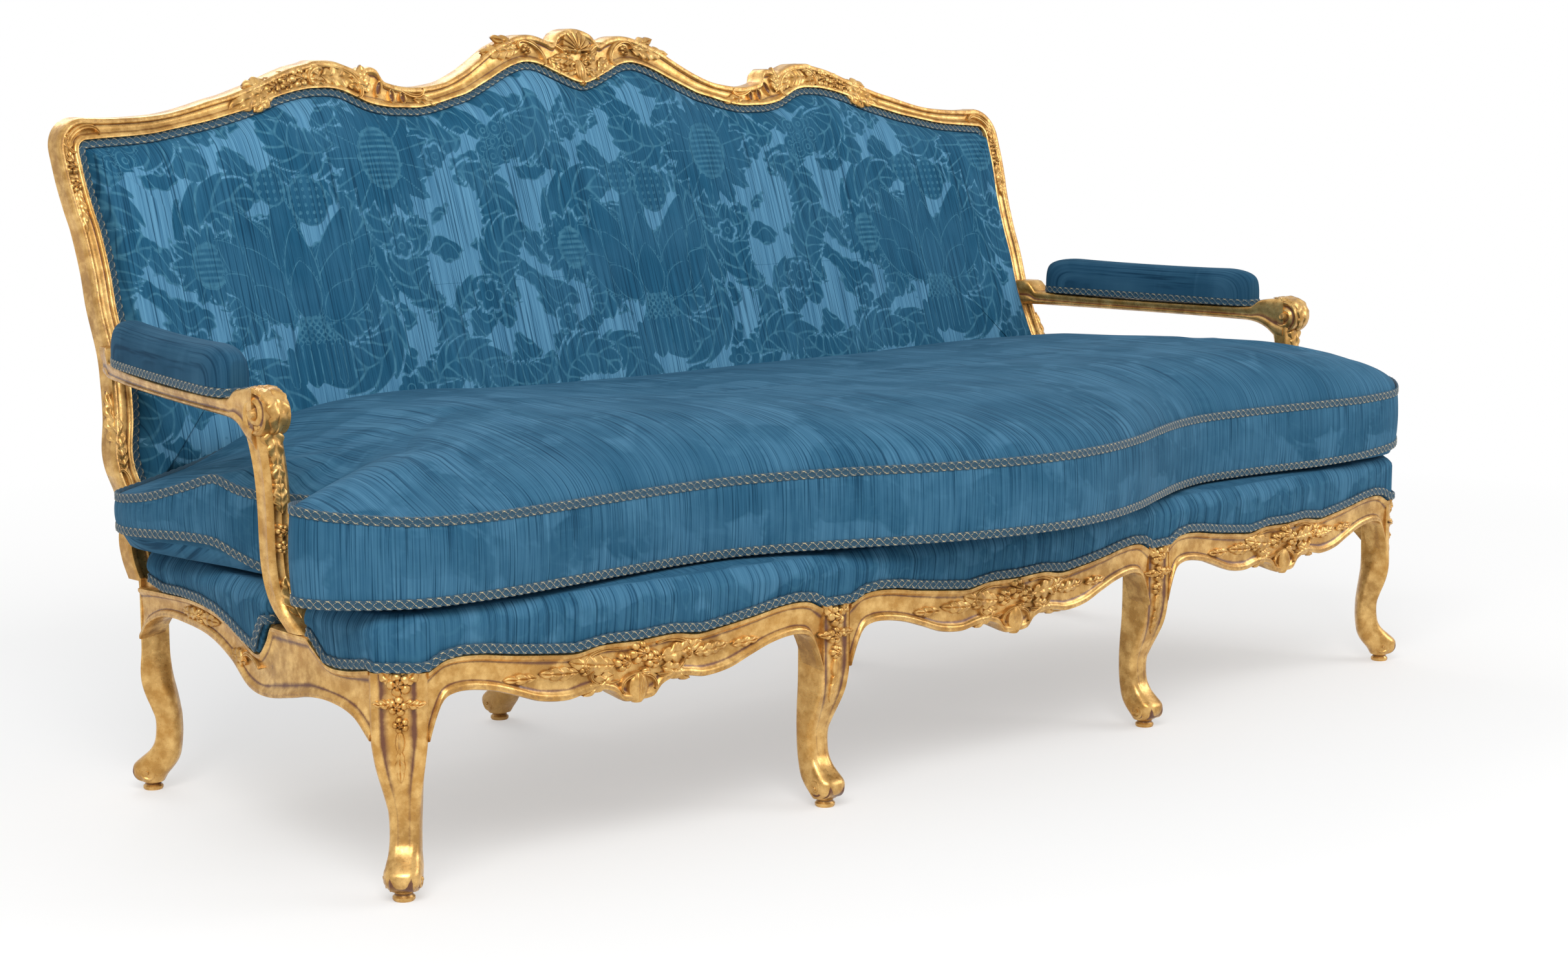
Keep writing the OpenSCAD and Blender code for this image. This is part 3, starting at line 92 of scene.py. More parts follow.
# Closed loop of rows of numbers, evened out to count steps along its plan length
def resampleLoop(rows, count, smooth=0.6):
    rows = np.asarray(rows, float)
    n = len(rows)
    ahead = np.roll(rows, -1, 0)
    step = np.linalg.norm(ahead[:, :2] - rows[:, :2], axis=1)
    total = np.concatenate([[0], np.cumsum(step)])
    s = np.linspace(0, total[-1], count, endpoint=False)
    i = np.clip(np.searchsorted(total, s, side="right") - 1, 0, n - 1)
    k = ((s - total[i]) / np.maximum(step[i], 1e-9))[:, None]
    tangent = (ahead - np.roll(rows, 1, 0)) / (step + np.roll(step, 1))[:, None]
    a, b = rows[i], ahead[i]
    m, q = tangent[i] * step[i][:, None], np.roll(tangent, -1, 0)[i] * step[i][:, None]
    curved = (a * (2 * k**3 - 3 * k**2 + 1) + m * (k**3 - 2 * k**2 + k)
              + b * (3 * k**2 - 2 * k**3) + q * (k**3 - k**2))
    return smooth * curved + (1 - smooth) * (a + (b - a) * k), s


# Rows of the right half, then of the left half in reverse, with the sign of the given columns turned
def withLeftHalf(rows, turned):
    rows = np.array(rows)
    left = rows[-2:0:-1].copy()
    left[:, turned] *= -1
    return np.concatenate([rows, left])


def outwardOf(loop):
    d = np.roll(loop, -1, 0) - np.roll(loop, 1, 0)
    d = d / np.maximum(np.linalg.norm(d, axis=1), 1e-9)[:, None]
    return np.stack([d[:, 1], -d[:, 0]], 1)


# A surface over rings of points, shape (rings, points, 3)
def ringSurface(rings, relief=None, closed=True, caps=True, **more):
    rings = np.asarray(rings, float)
    m, n = rings.shape[:2]
    ids = np.arange(m * n).reshape(m, n)
    a, b = ids[:-1], ids[1:]
    if closed:
        quads = np.stack([a, np.roll(a, -1, 1), np.roll(b, -1, 1), b], -1)
    else:
        quads = np.stack([a[:, :-1], a[:, 1:], b[:, 1:], b[:, :-1]], -1)
    faces = quads.reshape(-1, 4).tolist()
    if closed and caps:
        faces += [ids[0][::-1].tolist(), ids[-1].tolist()]
    part = {"points": rings.reshape(-1, 3), "faces": faces}
    part["relief"] = np.full(m * n, 0.5) if relief is None else np.broadcast_to(relief, (m, n)).ravel()
    for key, value in more.items():
        part[key] = np.asarray(value, float).reshape(m * n, -1)
    return part


def mirrored(part):
    other = dict(part)
    other["points"] = part["points"] * [-1, 1, 1]
    other["faces"] = [list(reversed(f)) for f in part["faces"]]
    return other


# One object from several parts, with its attributes, finish, body and the node that it stands for
def makePiece(name, parts, finish, body="frame", replaced=(), sharp=38):
    points = np.concatenate([p["points"] for p in parts]) - [0, midY, 0]
    faces, base = [], 0
    for p in parts:
        faces += [[i + base for i in f] for f in p["faces"]]
        base += len(p["points"])
    mesh = bpy.data.meshes.new(name)
    mesh.from_pydata(points.tolist(), [], faces)
    mesh.polygons.foreach_set("use_smooth", [True] * len(faces))
    for key, kind, size in (("relief", "FLOAT", 1), ("weave", "FLOAT_VECTOR", 3),
                            ("figure", "FLOAT", 1), ("vein", "FLOAT", 1)):
        if all(key in p for p in parts):
            data = np.concatenate([np.asarray(p[key], float).reshape(-1, size) for p in parts])
            layer = mesh.attributes.new(key, kind, "POINT")
            layer.data.foreach_set("value" if size == 1 else "vector", data.astype(np.float32).ravel())
    tidy = bmesh.new()
    tidy.from_mesh(mesh)
    bmesh.ops.recalc_face_normals(tidy, faces=tidy.faces)
    tidy.to_mesh(mesh)
    tidy.free()
    if sharp:
        mesh.set_sharp_from_angle(angle=math.radians(sharp))
    mesh.materials.append(finish)
    piece = bpy.data.objects.new(name, mesh)
    bpy.context.scene.collection.objects.link(piece)
    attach(piece, body)
    if replaced:
        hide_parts(*replaced)
    return piece


# Node helpers for the finishes
def newFinish(name):
    finish = bpy.data.materials.new(name)
    finish.use_nodes = True
    tree = finish.node_tree
    shader = tree.nodes["Principled BSDF"]
    return finish, tree, shader


def setInputs(tree, node, values):
    for key, value in values.items():
        if isinstance(value, bpy.types.NodeSocket):
            tree.links.new(value, node.inputs[key])
        else:
            node.inputs[key].default_value = value


def addNode(tree, kind, inputs=None, **settings):
    node = tree.nodes.new(kind)
    for key, value in settings.items():
        setattr(node, key, value)
    setInputs(tree, node, inputs or {})
    return node


def attributeOf(tree, name, socket="Fac"):
    return addNode(tree, "ShaderNodeAttribute", attribute_name=name).outputs[socket]


# sockets 0, 6 and 7 of a mix node are its share and its two colours, and output 2 is the mixed colour
def mixColours(tree, share, first, second):
    return addNode(tree, "ShaderNodeMix", {0: share, 6: first, 7: second}, data_type="RGBA").outputs[2]


def calculate(tree, operation, a, b=0.0):
    return addNode(tree, "ShaderNodeMath", {0: a, 1: b}, operation=operation).outputs[0]


def plus(tree, a, b):
    return calculate(tree, "ADD", a, b)


def times(tree, a, b):
    return calculate(tree, "MULTIPLY", a, b)


def larger(tree, a, b):
    return calculate(tree, "MAXIMUM", a, b)


def rangeOf(tree, value, low, high, outLow=0.0, outHigh=1.0):
    node = addNode(tree, "ShaderNodeMapRange", {"Value": value, "From Min": low, "From Max": high,
                                                "To Min": outLow, "To Max": outHigh}, clamp=True)
    return node.outputs[0]


def noiseOf(tree, vector, scale, detail=4.0, roughness=0.55):
    return addNode(tree, "ShaderNodeTexNoise", {"Vector": vector, "Scale": scale, "Detail": detail,
                                                "Roughness": roughness}).outputs["Fac"]


def stretched(tree, vector, scale):
    return addNode(tree, "ShaderNodeMapping", {"Vector": vector, "Scale": scale}).outputs[0]


def addBump(tree, shader, height, strength, distance):
    bump = addNode(tree, "ShaderNodeBump", {"Height": height, "Strength": strength, "Distance": distance})
    tree.links.new(bump.outputs[0], shader.inputs["Normal"])


# Camera at the photograph's place
camera = {"place": (-2.929, -2.669 - midY, 0.979), "tilt": 90 - 8.33, "turn": -43.59, "lens": 63.42}
lensData = bpy.data.cameras.new("photoCamera")
lensData.lens = camera["lens"]
lensData.sensor_width = 36
lensData.clip_end = 60
photoCamera = bpy.data.objects.new("photoCamera", lensData)
photoCamera.location = camera["place"]
photoCamera.rotation_euler = (math.radians(camera["tilt"]), 0, math.radians(camera["turn"]))
bpy.context.scene.collection.objects.link(photoCamera)
bpy.context.scene.camera = photoCamera

# Soft studio light, a pale floor and a white surround
studio = {
    "floorColour": (0.86, 0.86, 0.855, 1), "floorSize": 14, "floorLift": 0.46, "fadeFrom": 1.5, "fadeTo": 3.2,
    "surround": 0.62, "glossyShare": 0.5,
}
# each lamp's place, the point that it is aimed at, its width and its power
lamps = {
    "keyLamp": ((-2.6, -2.4, 3.4), (0, 0, 0.4), 2.6, 125),
    "fillLamp": ((3.2, -2.6, 2.4), (0, 0, 0.5), 2.8, 60),
    "backLamp": ((0.5, 3.4, 3.2), (0, 0, 0.6), 2.6, 45),
}


def softLamp(name, place, aim, size, power):
    lampData = bpy.data.lights.new(name, "AREA")
    lampData.shape = "RECTANGLE"
    lampData.size = size
    lampData.size_y = size * 0.7
    lampData.energy = power
    lamp = bpy.data.objects.new(name, lampData)
    lamp.location = place
    direction = np.array(aim, float) - place
    lamp.rotation_euler = (math.atan2(math.hypot(direction[0], direction[1]), -direction[2]), 0,
                           math.atan2(direction[1], direction[0]) - math.pi / 2)
    bpy.context.scene.collection.objects.link(lamp)


# One for the rays that see the background as it is, and the given share for those that reflect it
def seenDirectly(tree, glossyShare):
    path = addNode(tree, "ShaderNodeLightPath").outputs
    glossy = path["Is Glossy Ray"]
    seen = larger(tree, path["Is Camera Ray"], path["Is Transmission Ray"])
    return larger(tree, seen, times(tree, glossy, glossyShare) if glossyShare < 1 else glossy)


def makeSurround():
    surround = bpy.data.worlds.new("surround")
    surround.use_nodes = True
    tree = surround.node_tree
    tree.nodes.clear()
    strength = rangeOf(tree, seenDirectly(tree, studio["glossyShare"]), 0, 1, studio["surround"], 1.0)
    background = addNode(tree, "ShaderNodeBackground", {"Color": (1, 1, 1, 1), "Strength": strength})
    output = addNode(tree, "ShaderNodeOutputWorld")
    tree.links.new(background.outputs[0], output.inputs[0])
    bpy.context.scene.world = surround
    bpy.context.scene.view_settings.view_transform = "Standard"


def makeFloor():
    half = studio["floorSize"]
    mesh = bpy.data.meshes.new("floor")
    corners = [(-half, -half, 0), (half, -half, 0), (half, half, 0), (-half, half, 0)]
    mesh.from_pydata(corners, [], [(0, 1, 2, 3)])
    floor = bpy.data.objects.new("floor", mesh)
    bpy.context.scene.collection.objects.link(floor)
    finish, tree, shader = newFinish("paleFloor")
    setInputs(tree, shader, {"Base Color": studio["floorColour"], "Roughness": 0.7,
                             "Specular IOR Level": 0.2})
    # far from the sofa the floor meets the white surround
    place = addNode(tree, "ShaderNodeTexCoord").outputs["Object"]
    away = addNode(tree, "ShaderNodeVectorMath", {0: place}, operation="LENGTH").outputs["Value"]
    seen = seenDirectly(tree, 1)
    far = rangeOf(tree, away, studio["fadeFrom"], studio["fadeTo"], studio["floorLift"], 1)
    fade = times(tree, far, seen)
    white = addNode(tree, "ShaderNodeEmission", {"Color": (1, 1, 1, 1), "Strength": 1.0})
    both = addNode(tree, "ShaderNodeMixShader", {0: fade, 1: shader.outputs[0], 2: white.outputs[0]})
    output = [n for n in tree.nodes if n.type == "OUTPUT_MATERIAL"][0]
    tree.links.new(both.outputs[0], output.inputs[0])
    mesh.materials.append(finish)


for lampName, (place, aim, size, power) in lamps.items():
    softLamp(lampName, place, aim, size, power)
makeSurround()
makeFloor()
print("studio, camera and floor are ready")

# Giltwood: burnished gold worn to red-brown bole, with duller ochre in places, and the same dark brown
# painted into recesses and grooves as painted shade
gilding = {
    "gold": (0.55, 0.285, 0.068, 1), "brightGold": (0.88, 0.565, 0.205, 1), "boleAndShade": (0.105, 0.028, 0.012, 1),
    "ochre": (0.41, 0.22, 0.060, 1), "metal": 0.68, "shine": 0.26, "bumpStrength": 0.12,
    "bumpDistance": 0.0012,
}


def makeGilding(name, dull=0.0):
    finish, tree, shader = newFinish(name)
    place = addNode(tree, "ShaderNodeTexCoord").outputs["Object"]
    relief = attributeOf(tree, "relief")
    broad = noiseOf(tree, place, 9, 3)
    worn = noiseOf(tree, place, 46, 6, 0.62)
    fine = noiseOf(tree, place, 210, 4, 0.6)
    gold = mixColours(tree, rangeOf(tree, broad, 0.35, 0.65), gilding["ochre"], gilding["gold"])
    gold = mixColours(tree, rangeOf(tree, worn, 0.42, 0.72), gold, gilding["brightGold"])
    # painted shade: where the relief is low, in recesses, grooves and the dark lines of the mouldings, the
    # colour goes towards the dark bole
    recessShade = rangeOf(tree, plus(tree, relief, times(tree, worn, 0.35)), 0.60, 0.36)
    edge = rangeOf(tree, plus(tree, relief, times(tree, fine, 0.5)), 1.16, 1.34)
    # the bole share holds painted shade in the recesses together with real wear on high edges and in worn
    # spots
    boleAndShadeShare = larger(tree, times(tree, recessShade, 0.94), times(tree, edge, 0.55))
    spots = rangeOf(tree, worn, 0.34, 0.27, 0, 0.6)
    boleAndShadeShare = larger(tree, boleAndShadeShare, spots)
    colour = mixColours(tree, boleAndShadeShare, gold, gilding["boleAndShade"])
    if dull:
        colour = mixColours(tree, dull, colour, gilding["ochre"])
    metal = times(tree, calculate(tree, "SUBTRACT", 1.0, boleAndShadeShare), gilding["metal"] * (1 - 0.5 * dull))
    rough = rangeOf(tree, fine, 0.3, 0.7, gilding["shine"] - 0.04, gilding["shine"] + 0.16 + 0.2 * dull)
    setInputs(tree, shader, {"Base Color": colour, "Metallic": metal, "Roughness": rough})
    scratches = plus(tree, times(tree, worn, 0.6), fine)
    addBump(tree, shader, scratches, gilding["bumpStrength"], gilding["bumpDistance"])
    return finish


gilt = makeGilding("burnishedGilding")
giltSides = makeGilding("dullerOchreGilding", 0.45)

# Blue strie velvet with a cut damask figure, read from the weave coordinates of each piece
velvet = {
    "ground": (0.042, 0.152, 0.268, 1), "groundLight": (0.112, 0.290, 0.440, 1),
    "pile": (0.0050, 0.058, 0.118, 1), "pileLight": (0.014, 0.098, 0.182, 1),
    "shade": (0.0022, 0.026, 0.058, 1), "line": (0.062, 0.205, 0.300, 1), "lineWidth": 0.0011,
    "sheen": 0.030, "sheenTint": (0.30, 0.60, 0.85, 1),
    "fineStreaks": (430, 5, 1), "broadStreaks": (110, 2.2, 1), "wornFloor": 0.84, "furrow": 0.62,
}


def makeVelvet(name, figured=1.0, darker=0.0):
    finish, tree, shader = newFinish(name)
    weave = attributeOf(tree, "weave", "Vector")
    streakFine = noiseOf(tree, stretched(tree, weave, velvet["fineStreaks"]), 1, 3, 0.6)
    streakBroad = noiseOf(tree, stretched(tree, weave, velvet["broadStreaks"]), 1, 3, 0.6)
    streak = plus(tree, times(tree, streakFine, 0.6), times(tree, streakBroad, 0.4))
    streak = rangeOf(tree, streak, 0.38, 0.62)
    mottle = noiseOf(tree, weave, 60, 4)
    ground = mixColours(tree, streak, velvet["ground"], velvet["groundLight"])
    pile = mixColours(tree, streak, velvet["pile"], velvet["pileLight"])
    figure = attributeOf(tree, "figure")
    vein = attributeOf(tree, "vein")
    # the fainter the figure, the more ragged and soft its edge
    ragged = times(tree, calculate(tree, "SUBTRACT", mottle, 0.5), 0.003 + 0.010 * (1 - figured))
    figure = plus(tree, figure, ragged)
    soft = 0.0005 + 0.006 * (1 - figured)
    inside = rangeOf(tree, figure, soft, -soft)
    patches = noiseOf(tree, weave, 7, 3)
    fullest = 1.0 if figured > 0.9 else 0.75
    crushed = rangeOf(tree, patches, 0.40, 0.62, velvet["wornFloor"] * figured**2, fullest)
    inside = times(tree, inside, crushed)
    if figured < 1:
        inside = plus(tree, times(tree, inside, 0.62), 0.30)
    colour = mixColours(tree, inside, ground, pile)
    thin = velvet["lineWidth"]
    outline = rangeOf(tree, calculate(tree, "ABSOLUTE", figure), thin * 1.2, thin * 0.4)
    veins = rangeOf(tree, calculate(tree, "ABSOLUTE", vein), thin * 1.1, thin * 0.4)
    line = times(tree, larger(tree, outline, veins), rangeOf(tree, mottle, 0.35, 0.62, 0.25, 0.8))
    line = times(tree, times(tree, line, inside), figured**2)
    colour = mixColours(tree, line, colour, velvet["line"])
    furrow = rangeOf(tree, streakFine, 0.45, 0.36, 0, velvet["furrow"])
    colour = mixColours(tree, furrow, colour, velvet["shade"])
    if darker:
        colour = mixColours(tree, darker, colour, velvet["shade"])
    setInputs(tree, shader, {"Base Color": colour, "Roughness": 0.82, "Specular IOR Level": 0.12,
                             "Sheen Weight": velvet["sheen"], "Sheen Roughness": 0.42,
                             "Sheen Tint": velvet["sheenTint"]})
    addBump(tree, shader, plus(tree, times(tree, streak, 0.3), inside), 0.35, 0.0012)
    return finish


velvetDamask = makeVelvet("blueDamaskVelvet")
velvetFaint = makeVelvet("blueDamaskVelvetCrushed", figured=0.5, darker=0.30)
# the stuffed seat's copy is darkened towards the shade colour as painted shade, for the shadow under the
# cushion's overhang
velvetDeck = makeVelvet("blueDamaskVelvetShaded", figured=0.72, darker=0.26)
velvetPad = makeVelvet("blueDamaskVelvetPads", figured=0.4, darker=0.60)

# Gimp braid: blue ground with looped pale gold threads
braid = {"ground": (0.008, 0.052, 0.092, 1), "thread": (0.64, 0.49, 0.24, 1),
         "blueThread": (0.030, 0.125, 0.190, 1)}


def makeBraid():
    finish, tree, shader = newFinish("loopedGimp")
    weave = attributeOf(tree, "weave", "Vector")
    relief = attributeOf(tree, "relief")
    twist = noiseOf(tree, stretched(tree, weave, (1500, 400, 1)), 1, 2)
    thread = mixColours(tree, rangeOf(tree, twist, 0.46, 0.58), braid["thread"], braid["blueThread"])
    colour = mixColours(tree, rangeOf(tree, relief, 0.62, 0.86), braid["ground"], thread)
    setInputs(tree, shader, {"Base Color": colour, "Roughness": 0.7, "Sheen Weight": 0.15})
    addBump(tree, shader, twist, 0.4, 0.0006)
    return finish


loopedGimp = makeBraid()

# Frame members of plain wood, jute webbing, hessian and the cloth behind the back
plain = {
    "wood": (0.30, 0.185, 0.095, 1), "woodDark": (0.15, 0.082, 0.040, 1), "jute": (0.42, 0.33, 0.20, 1),
    "juteStripe": (0.25, 0.13, 0.07, 1), "linen": (0.46, 0.38, 0.26, 1),
    "outside": (0.035, 0.105, 0.180, 1), "outsideDark": (0.018, 0.060, 0.110, 1),
}


def makePlainWood():
    finish, tree, shader = newFinish("agedBeech")
    place = addNode(tree, "ShaderNodeTexCoord").outputs["Object"]
    grain = noiseOf(tree, stretched(tree, place, (2.5, 40, 90)), 1, 6, 0.65)
    broad = noiseOf(tree, place, 5, 3)
    share = plus(tree, times(tree, grain, 0.7), times(tree, broad, 0.3))
    colour = mixColours(tree, rangeOf(tree, share, 0.38, 0.62), plain["woodDark"], plain["wood"])
    setInputs(tree, shader, {"Base Color": colour, "Roughness": 0.6})
    addBump(tree, shader, grain, 0.25, 0.001)
    return finish


def makeCoarseCloth(name, first, second, pitch):
    finish, tree, shader = newFinish(name)
    place = addNode(tree, "ShaderNodeTexCoord").outputs["Object"]
    parts = addNode(tree, "ShaderNodeSeparateXYZ", {"Vector": place}).outputs
    turns = 2 * math.pi / pitch
    across = calculate(tree, "SINE", times(tree, parts[0], turns))
    along = calculate(tree, "SINE", times(tree, plus(tree, parts[1], parts[2]), turns))
    weft = times(tree, across, along)
    fuzz = noiseOf(tree, place, 300, 4)
    share = plus(tree, times(tree, weft, 0.25), fuzz)
    colour = mixColours(tree, rangeOf(tree, share, 0.3, 0.75), second, first)
    setInputs(tree, shader, {"Base Color": colour, "Roughness": 0.9})
    addBump(tree, shader, share, 0.5, 0.001)
    return finish


plainWood = makePlainWood()
juteWeb = makeCoarseCloth("juteWebbing", plain["jute"], plain["juteStripe"], 0.005)
hessian = makeCoarseCloth("linenHessian", plain["linen"], plain["jute"], 0.0022)
outsideCloth = makeCoarseCloth("outsideCloth", plain["outside"], plain["outsideDark"], 0.0016)
print("finishes are ready")


def repaint(nodeName, finish):
    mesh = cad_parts[nodeName].data
    mesh.materials.clear()
    mesh.materials.append(finish)


for nodeName in ("rear_rail_left", "rear_rail_centre", "rear_rail_right", "cross_bearer_left",
                 "cross_bearer_right", "back_bottom_rail"):
    repaint(nodeName, plainWood)
for nodeName in ("seat_webbing", "back_webbing"):
    repaint(nodeName, juteWeb)
for nodeName in ("seat_hessian", "back_hessian"):
    repaint(nodeName, hessian)

# Outline of the seat frame
bowShares = [[0, 1], [0.2, 0.92], [0.34, 0.68], [0.5, 0.52], [0.67, 0.4], [0.83, 0.2], [1, 0]]
sidePlanShares = [[0, 0], [0.18, 0], [0.35, 0.12], [0.55, 0.42], [0.8, 0.8], [1, 1]]
sideFrontY = frontFaceY + sofa["block"]
sideRun = rearFaceY - sideFrontY


def frontFace(x):
    return frontFaceY - sofa["frontBow"] * curveAt(bothSides(bowShares), np.asarray(x) / halfFront)


def sideShare(y):
    return (np.asarray(y) - sideFrontY) / sideRun


def sideFace(y):
    return halfFront + blockReach - sofa["sideTaper"] * curveAt(sidePlanShares, sideShare(y))


# Moulding across a face: rim roll, dark line, hollow and inner bead, for an array of widths
moulding = {"rim": 0.0095, "bead": 0.0070, "proud": 0.0022, "hollow": 0.0048, "hollowSteps": 10}


def mouldedFace(width):
    width = np.asarray(width, float)[:, None]
    a = np.linspace(0, 1, 8)[None, :]
    rimX = a * np.minimum(moulding["rim"], width * 0.3)
    rimN = (moulding["proud"] * np.sqrt(np.maximum(1 - (2 * a - 0.9) ** 2 / 1.21, 0))
            - 0.003 * np.maximum(1 - a / 0.14, 0))
    beadW = np.minimum(moulding["bead"], width * 0.24)
    b = np.linspace(0, 1, 7)[None, :]
    beadX = width - beadW + b * beadW
    beadN = (moulding["proud"] * 0.7 * np.sqrt(np.maximum(1 - (2 * b - 1.1) ** 2 / 1.21, 0))
             - 0.003 * np.maximum(b - 0.86, 0) / 0.14)
    h = np.linspace(0, 1, moulding["hollowSteps"] + 2)[None, 1:-1]
    start, end = rimX[:, -1:], width - beadW
    hollowX = start + h * (end - start)
    hollowN = -moulding["hollow"] * (0.55 + 0.45 * np.sin(math.pi * h)) + 0 * width
    x = np.concatenate([rimX, hollowX, beadX], 1)
    n = np.concatenate([rimN + 0 * width, hollowN, beadN + 0 * width], 1)
    # the low relief at the dark line and at the far end of the hollow is where the gilding paints shade
    relief = np.concatenate([0.55 + 0.45 * np.sin(math.pi * a),
                             [[0.16] + [0.5] * (moulding["hollowSteps"] - 2) + [0.2]],
                             0.55 + 0.4 * np.sin(math.pi * b)], 1) + 0 * width
    return x, n, relief


# Back frame: points are (x, height, how far forward) and lean back with the back
stileOutShares = [
    [0.28, 0.12], [0.305, 0.19], [0.33, 0.18], [0.365, 0.02], [0.39, 0.06], [0.42, 0.17], [0.444, 0.16],
    [0.484, -0.02], [0.533, -0.145], [0.565, -0.19], [0.625, -0.15], [0.67, -0.18], [0.724, -0.145],
    [0.75, -0.08], [0.785, -0.02], [0.82, 0]]
crestRiseShares = [
    [0, 1], [0.0204, 0.978], [0.036, 0.927], [0.046, 0.84], [0.053, 0.825], [0.0634, 0.861], [0.082, 0.905],
    [0.102, 0.92], [0.127, 0.898], [0.148, 0.847], [0.179, 0.759], [0.211, 0.628], [0.241, 0.511],
    [0.271, 0.416], [0.291, 0.365], [0.319, 0.328], [0.348, 0.307], [0.376, 0.314], [0.4, 0.35],
    [0.411, 0.39], [0.419, 0.5], [0.43, 0.53], [0.442, 0.515], [0.45, 0.47], [0.462, 0.511], [0.479, 0.555],
    [0.496, 0.591], [0.513, 0.6], [0.535, 0.599], [0.544, 0.577], [0.576, 0.526], [0.607, 0.453],
    [0.639, 0.365], [0.671, 0.292], [0.701, 0.226], [0.731, 0.175], [0.761, 0.117], [0.79, 0.066],
    [0.818, 0.029], [0.849, 0.007], [0.89, -0.007], [0.92, -0.01], [0.96, 0]]
crestLowShares = [
    [0, 0.35], [0.0204, 0.38], [0.036, 0.423], [0.046, 0.453], [0.061, 0.496], [0.08, 0.555], [0.097, 0.588],
    [0.118, 0.595], [0.14, 0.562], [0.163, 0.504], [0.192, 0.409], [0.222, 0.314], [0.2515, 0.226],
    [0.28, 0.175], [0.308, 0.124], [0.348, 0.073], [0.379, 0.073], [0.409, 0.08], [0.443, 0.124],
    [0.47, 0.204], [0.49, 0.263], [0.512, 0.292], [0.536, 0.292], [0.554, 0.285], [0.585, 0.248],
    [0.617, 0.19], [0.648, 0.117], [0.679, 0.051], [0.709, 0], [0.744, -0.058], [0.779, -0.102],
    [0.814, -0.146], [0.838, -0.175], [0.869, -0.197], [0.923, -0.22], [0.951, -0.2336]]
crest = {"steps": 420}


def leant(x, z, n):
    x, z, n = np.broadcast_arrays(x, z, n)
    return np.stack([x, backY0 + z * lean - n, z], -1)


def stileOut(z):
    return halfCrest + sofa["sideTaper"] * curveAt(stileOutShares, np.asarray(z) / sofa["height"])


def stileIn(z):
    return stileOut(z) - sofa["faceWidth"]


def crestEdge(shares, x):
    rise = sofa["height"] - sofa["shoulder"]
    return sofa["shoulder"] + rise * curveAt(bothSides(shares), np.asarray(x) / halfCrest)


def crestHigh(x):
    return crestEdge(crestRiseShares, x)


def crestLow(x):
    return crestEdge(crestLowShares, x)


def memberRings(outer, across, width, edgeAcross):
    # outer: (m, 2) points of the outer edge; across: unit directions to the inner edge
    d, n, relief = mouldedFace(width)
    front = outer[:, None, :] + d[:, :, None] * across[:, None, :]
    thick = sofa["backThick"]
    behind = [(1.0, -0.012), (1.0, -thick), (edgeAcross, -thick), (0.0, -thick * 0.72), (0.0, -0.008)]
    rings, depth, level = [front], [n], [relief]
    for share, deep in behind:
        rings.append((outer + (share * width)[:, None] * across)[:, None, :])
        depth.append(np.full((len(outer), 1), deep))
        level.append(np.full((len(outer), 1), 0.45))
    flat, depth, level = np.concatenate(rings, 1), np.concatenate(depth, 1), np.concatenate(level, 1)
    return leant(flat[..., 0], flat[..., 1], depth), level


def makeCrest():
    x = np.linspace(-cornerX, cornerX, crest["steps"] * 2 + 1)
    high, low = crestHigh(x), crestLow(x)
    outer = np.stack([x, high], 1)
    across = np.stack([x * 0, x * 0 - 1], 1)
    rings, level = memberRings(outer, across, high - low, 0.12)
    return [ringSurface(rings, level)]


def makeStileFace():
    z = np.linspace(sofa["frameTop"] - 0.004, cornerZ, 190)
    outer = np.stack([stileOut(z), z], 1)
    inward = np.stack([z * 0 - 1, z * 0], 1)
    angle = np.radians(np.linspace(0, 90, 24))[1:]
    r = sofa["cornerRadius"]
    bend = np.stack([cornerX + r * np.cos(angle), cornerZ + r * np.sin(angle)], 1)
    outer = np.concatenate([outer, bend])
    inward = np.concatenate([inward, -np.stack([np.cos(angle), np.sin(angle)], 1)])
    width = np.full(len(outer), sofa["faceWidth"])
    rings, level = memberRings(outer, inward, width, 0.28)
    return ringSurface(rings, level)


# Cabriole legs, by shares of the frame's height
legOutShares = [
    [0.04, 0.5], [0.066, 0.88], [0.095, 1], [0.12, 0.94], [0.15, 0.55], [0.185, 0.1], [0.225, -0.2],
    [0.28, -0.32], [0.334, -0.32], [0.39, -0.16], [0.446, 0.08], [0.5, 0.3], [0.56, 0.5], [0.64, 0.64],
    [0.74, 0.6], [0.87, 0.5]]
legInShares = [
    [0.04, 0.6], [0.07, 0.8], [0.1, 1.1], [0.13, 1.36], [0.17, 1.56], [0.26, 1.7], [0.35, 1.68],
    [0.43, 1.58], [0.53, 1.4], [0.62, 1.3]]
legHalfShares = [
    [0.04, 0.7], [0.08, 0.86], [0.125, 0.86], [0.18, 0.76], [0.285, 0.74], [0.393, 0.82], [0.5, 0.94],
    [0.62, 1]]
legChamferShares = [[0.04, 2.4], [0.13, 3], [0.22, 2], [0.5, 1.5], [0.7, 1]]
legTurnShares = [[0.35, 0], [0.46, 0.22], [0.56, 0.62], [0.65, 0.95], [0.72, 1]]
leg = {
    "stations": 90, "perEdge": 9, "kneeHollow": 0.0036, "bead": 0.0012, "crestShare": 0.922,
    "padHeight": 0.014, "scrollRadius": 0.0145, "scrollWidth": 0.031, "sideScrollWidth": 0.044,
    "chamfer": 0.004,
}


def roundedRing(corners, perEdge, round_):
    n = len(corners)
    k = (np.arange(perEdge) / perEdge)[None, :, None]
    a, b = corners[:, None, :], np.roll(corners, -1, 0)[:, None, :]
    before, after = np.roll(corners, 1, 0)[:, None, :], np.roll(corners, -2, 0)[:, None, :]
    smooth = 0.5 * (2 * a + (b - before) * k + (2 * before - 5 * a + 4 * b - after) * k**2
                    + (3 * a - before - 3 * b + after) * k**3)
    flat = a + (b - a) * k
    return (round_ * smooth + (1 - round_) * flat).reshape(n * perEdge, -1)


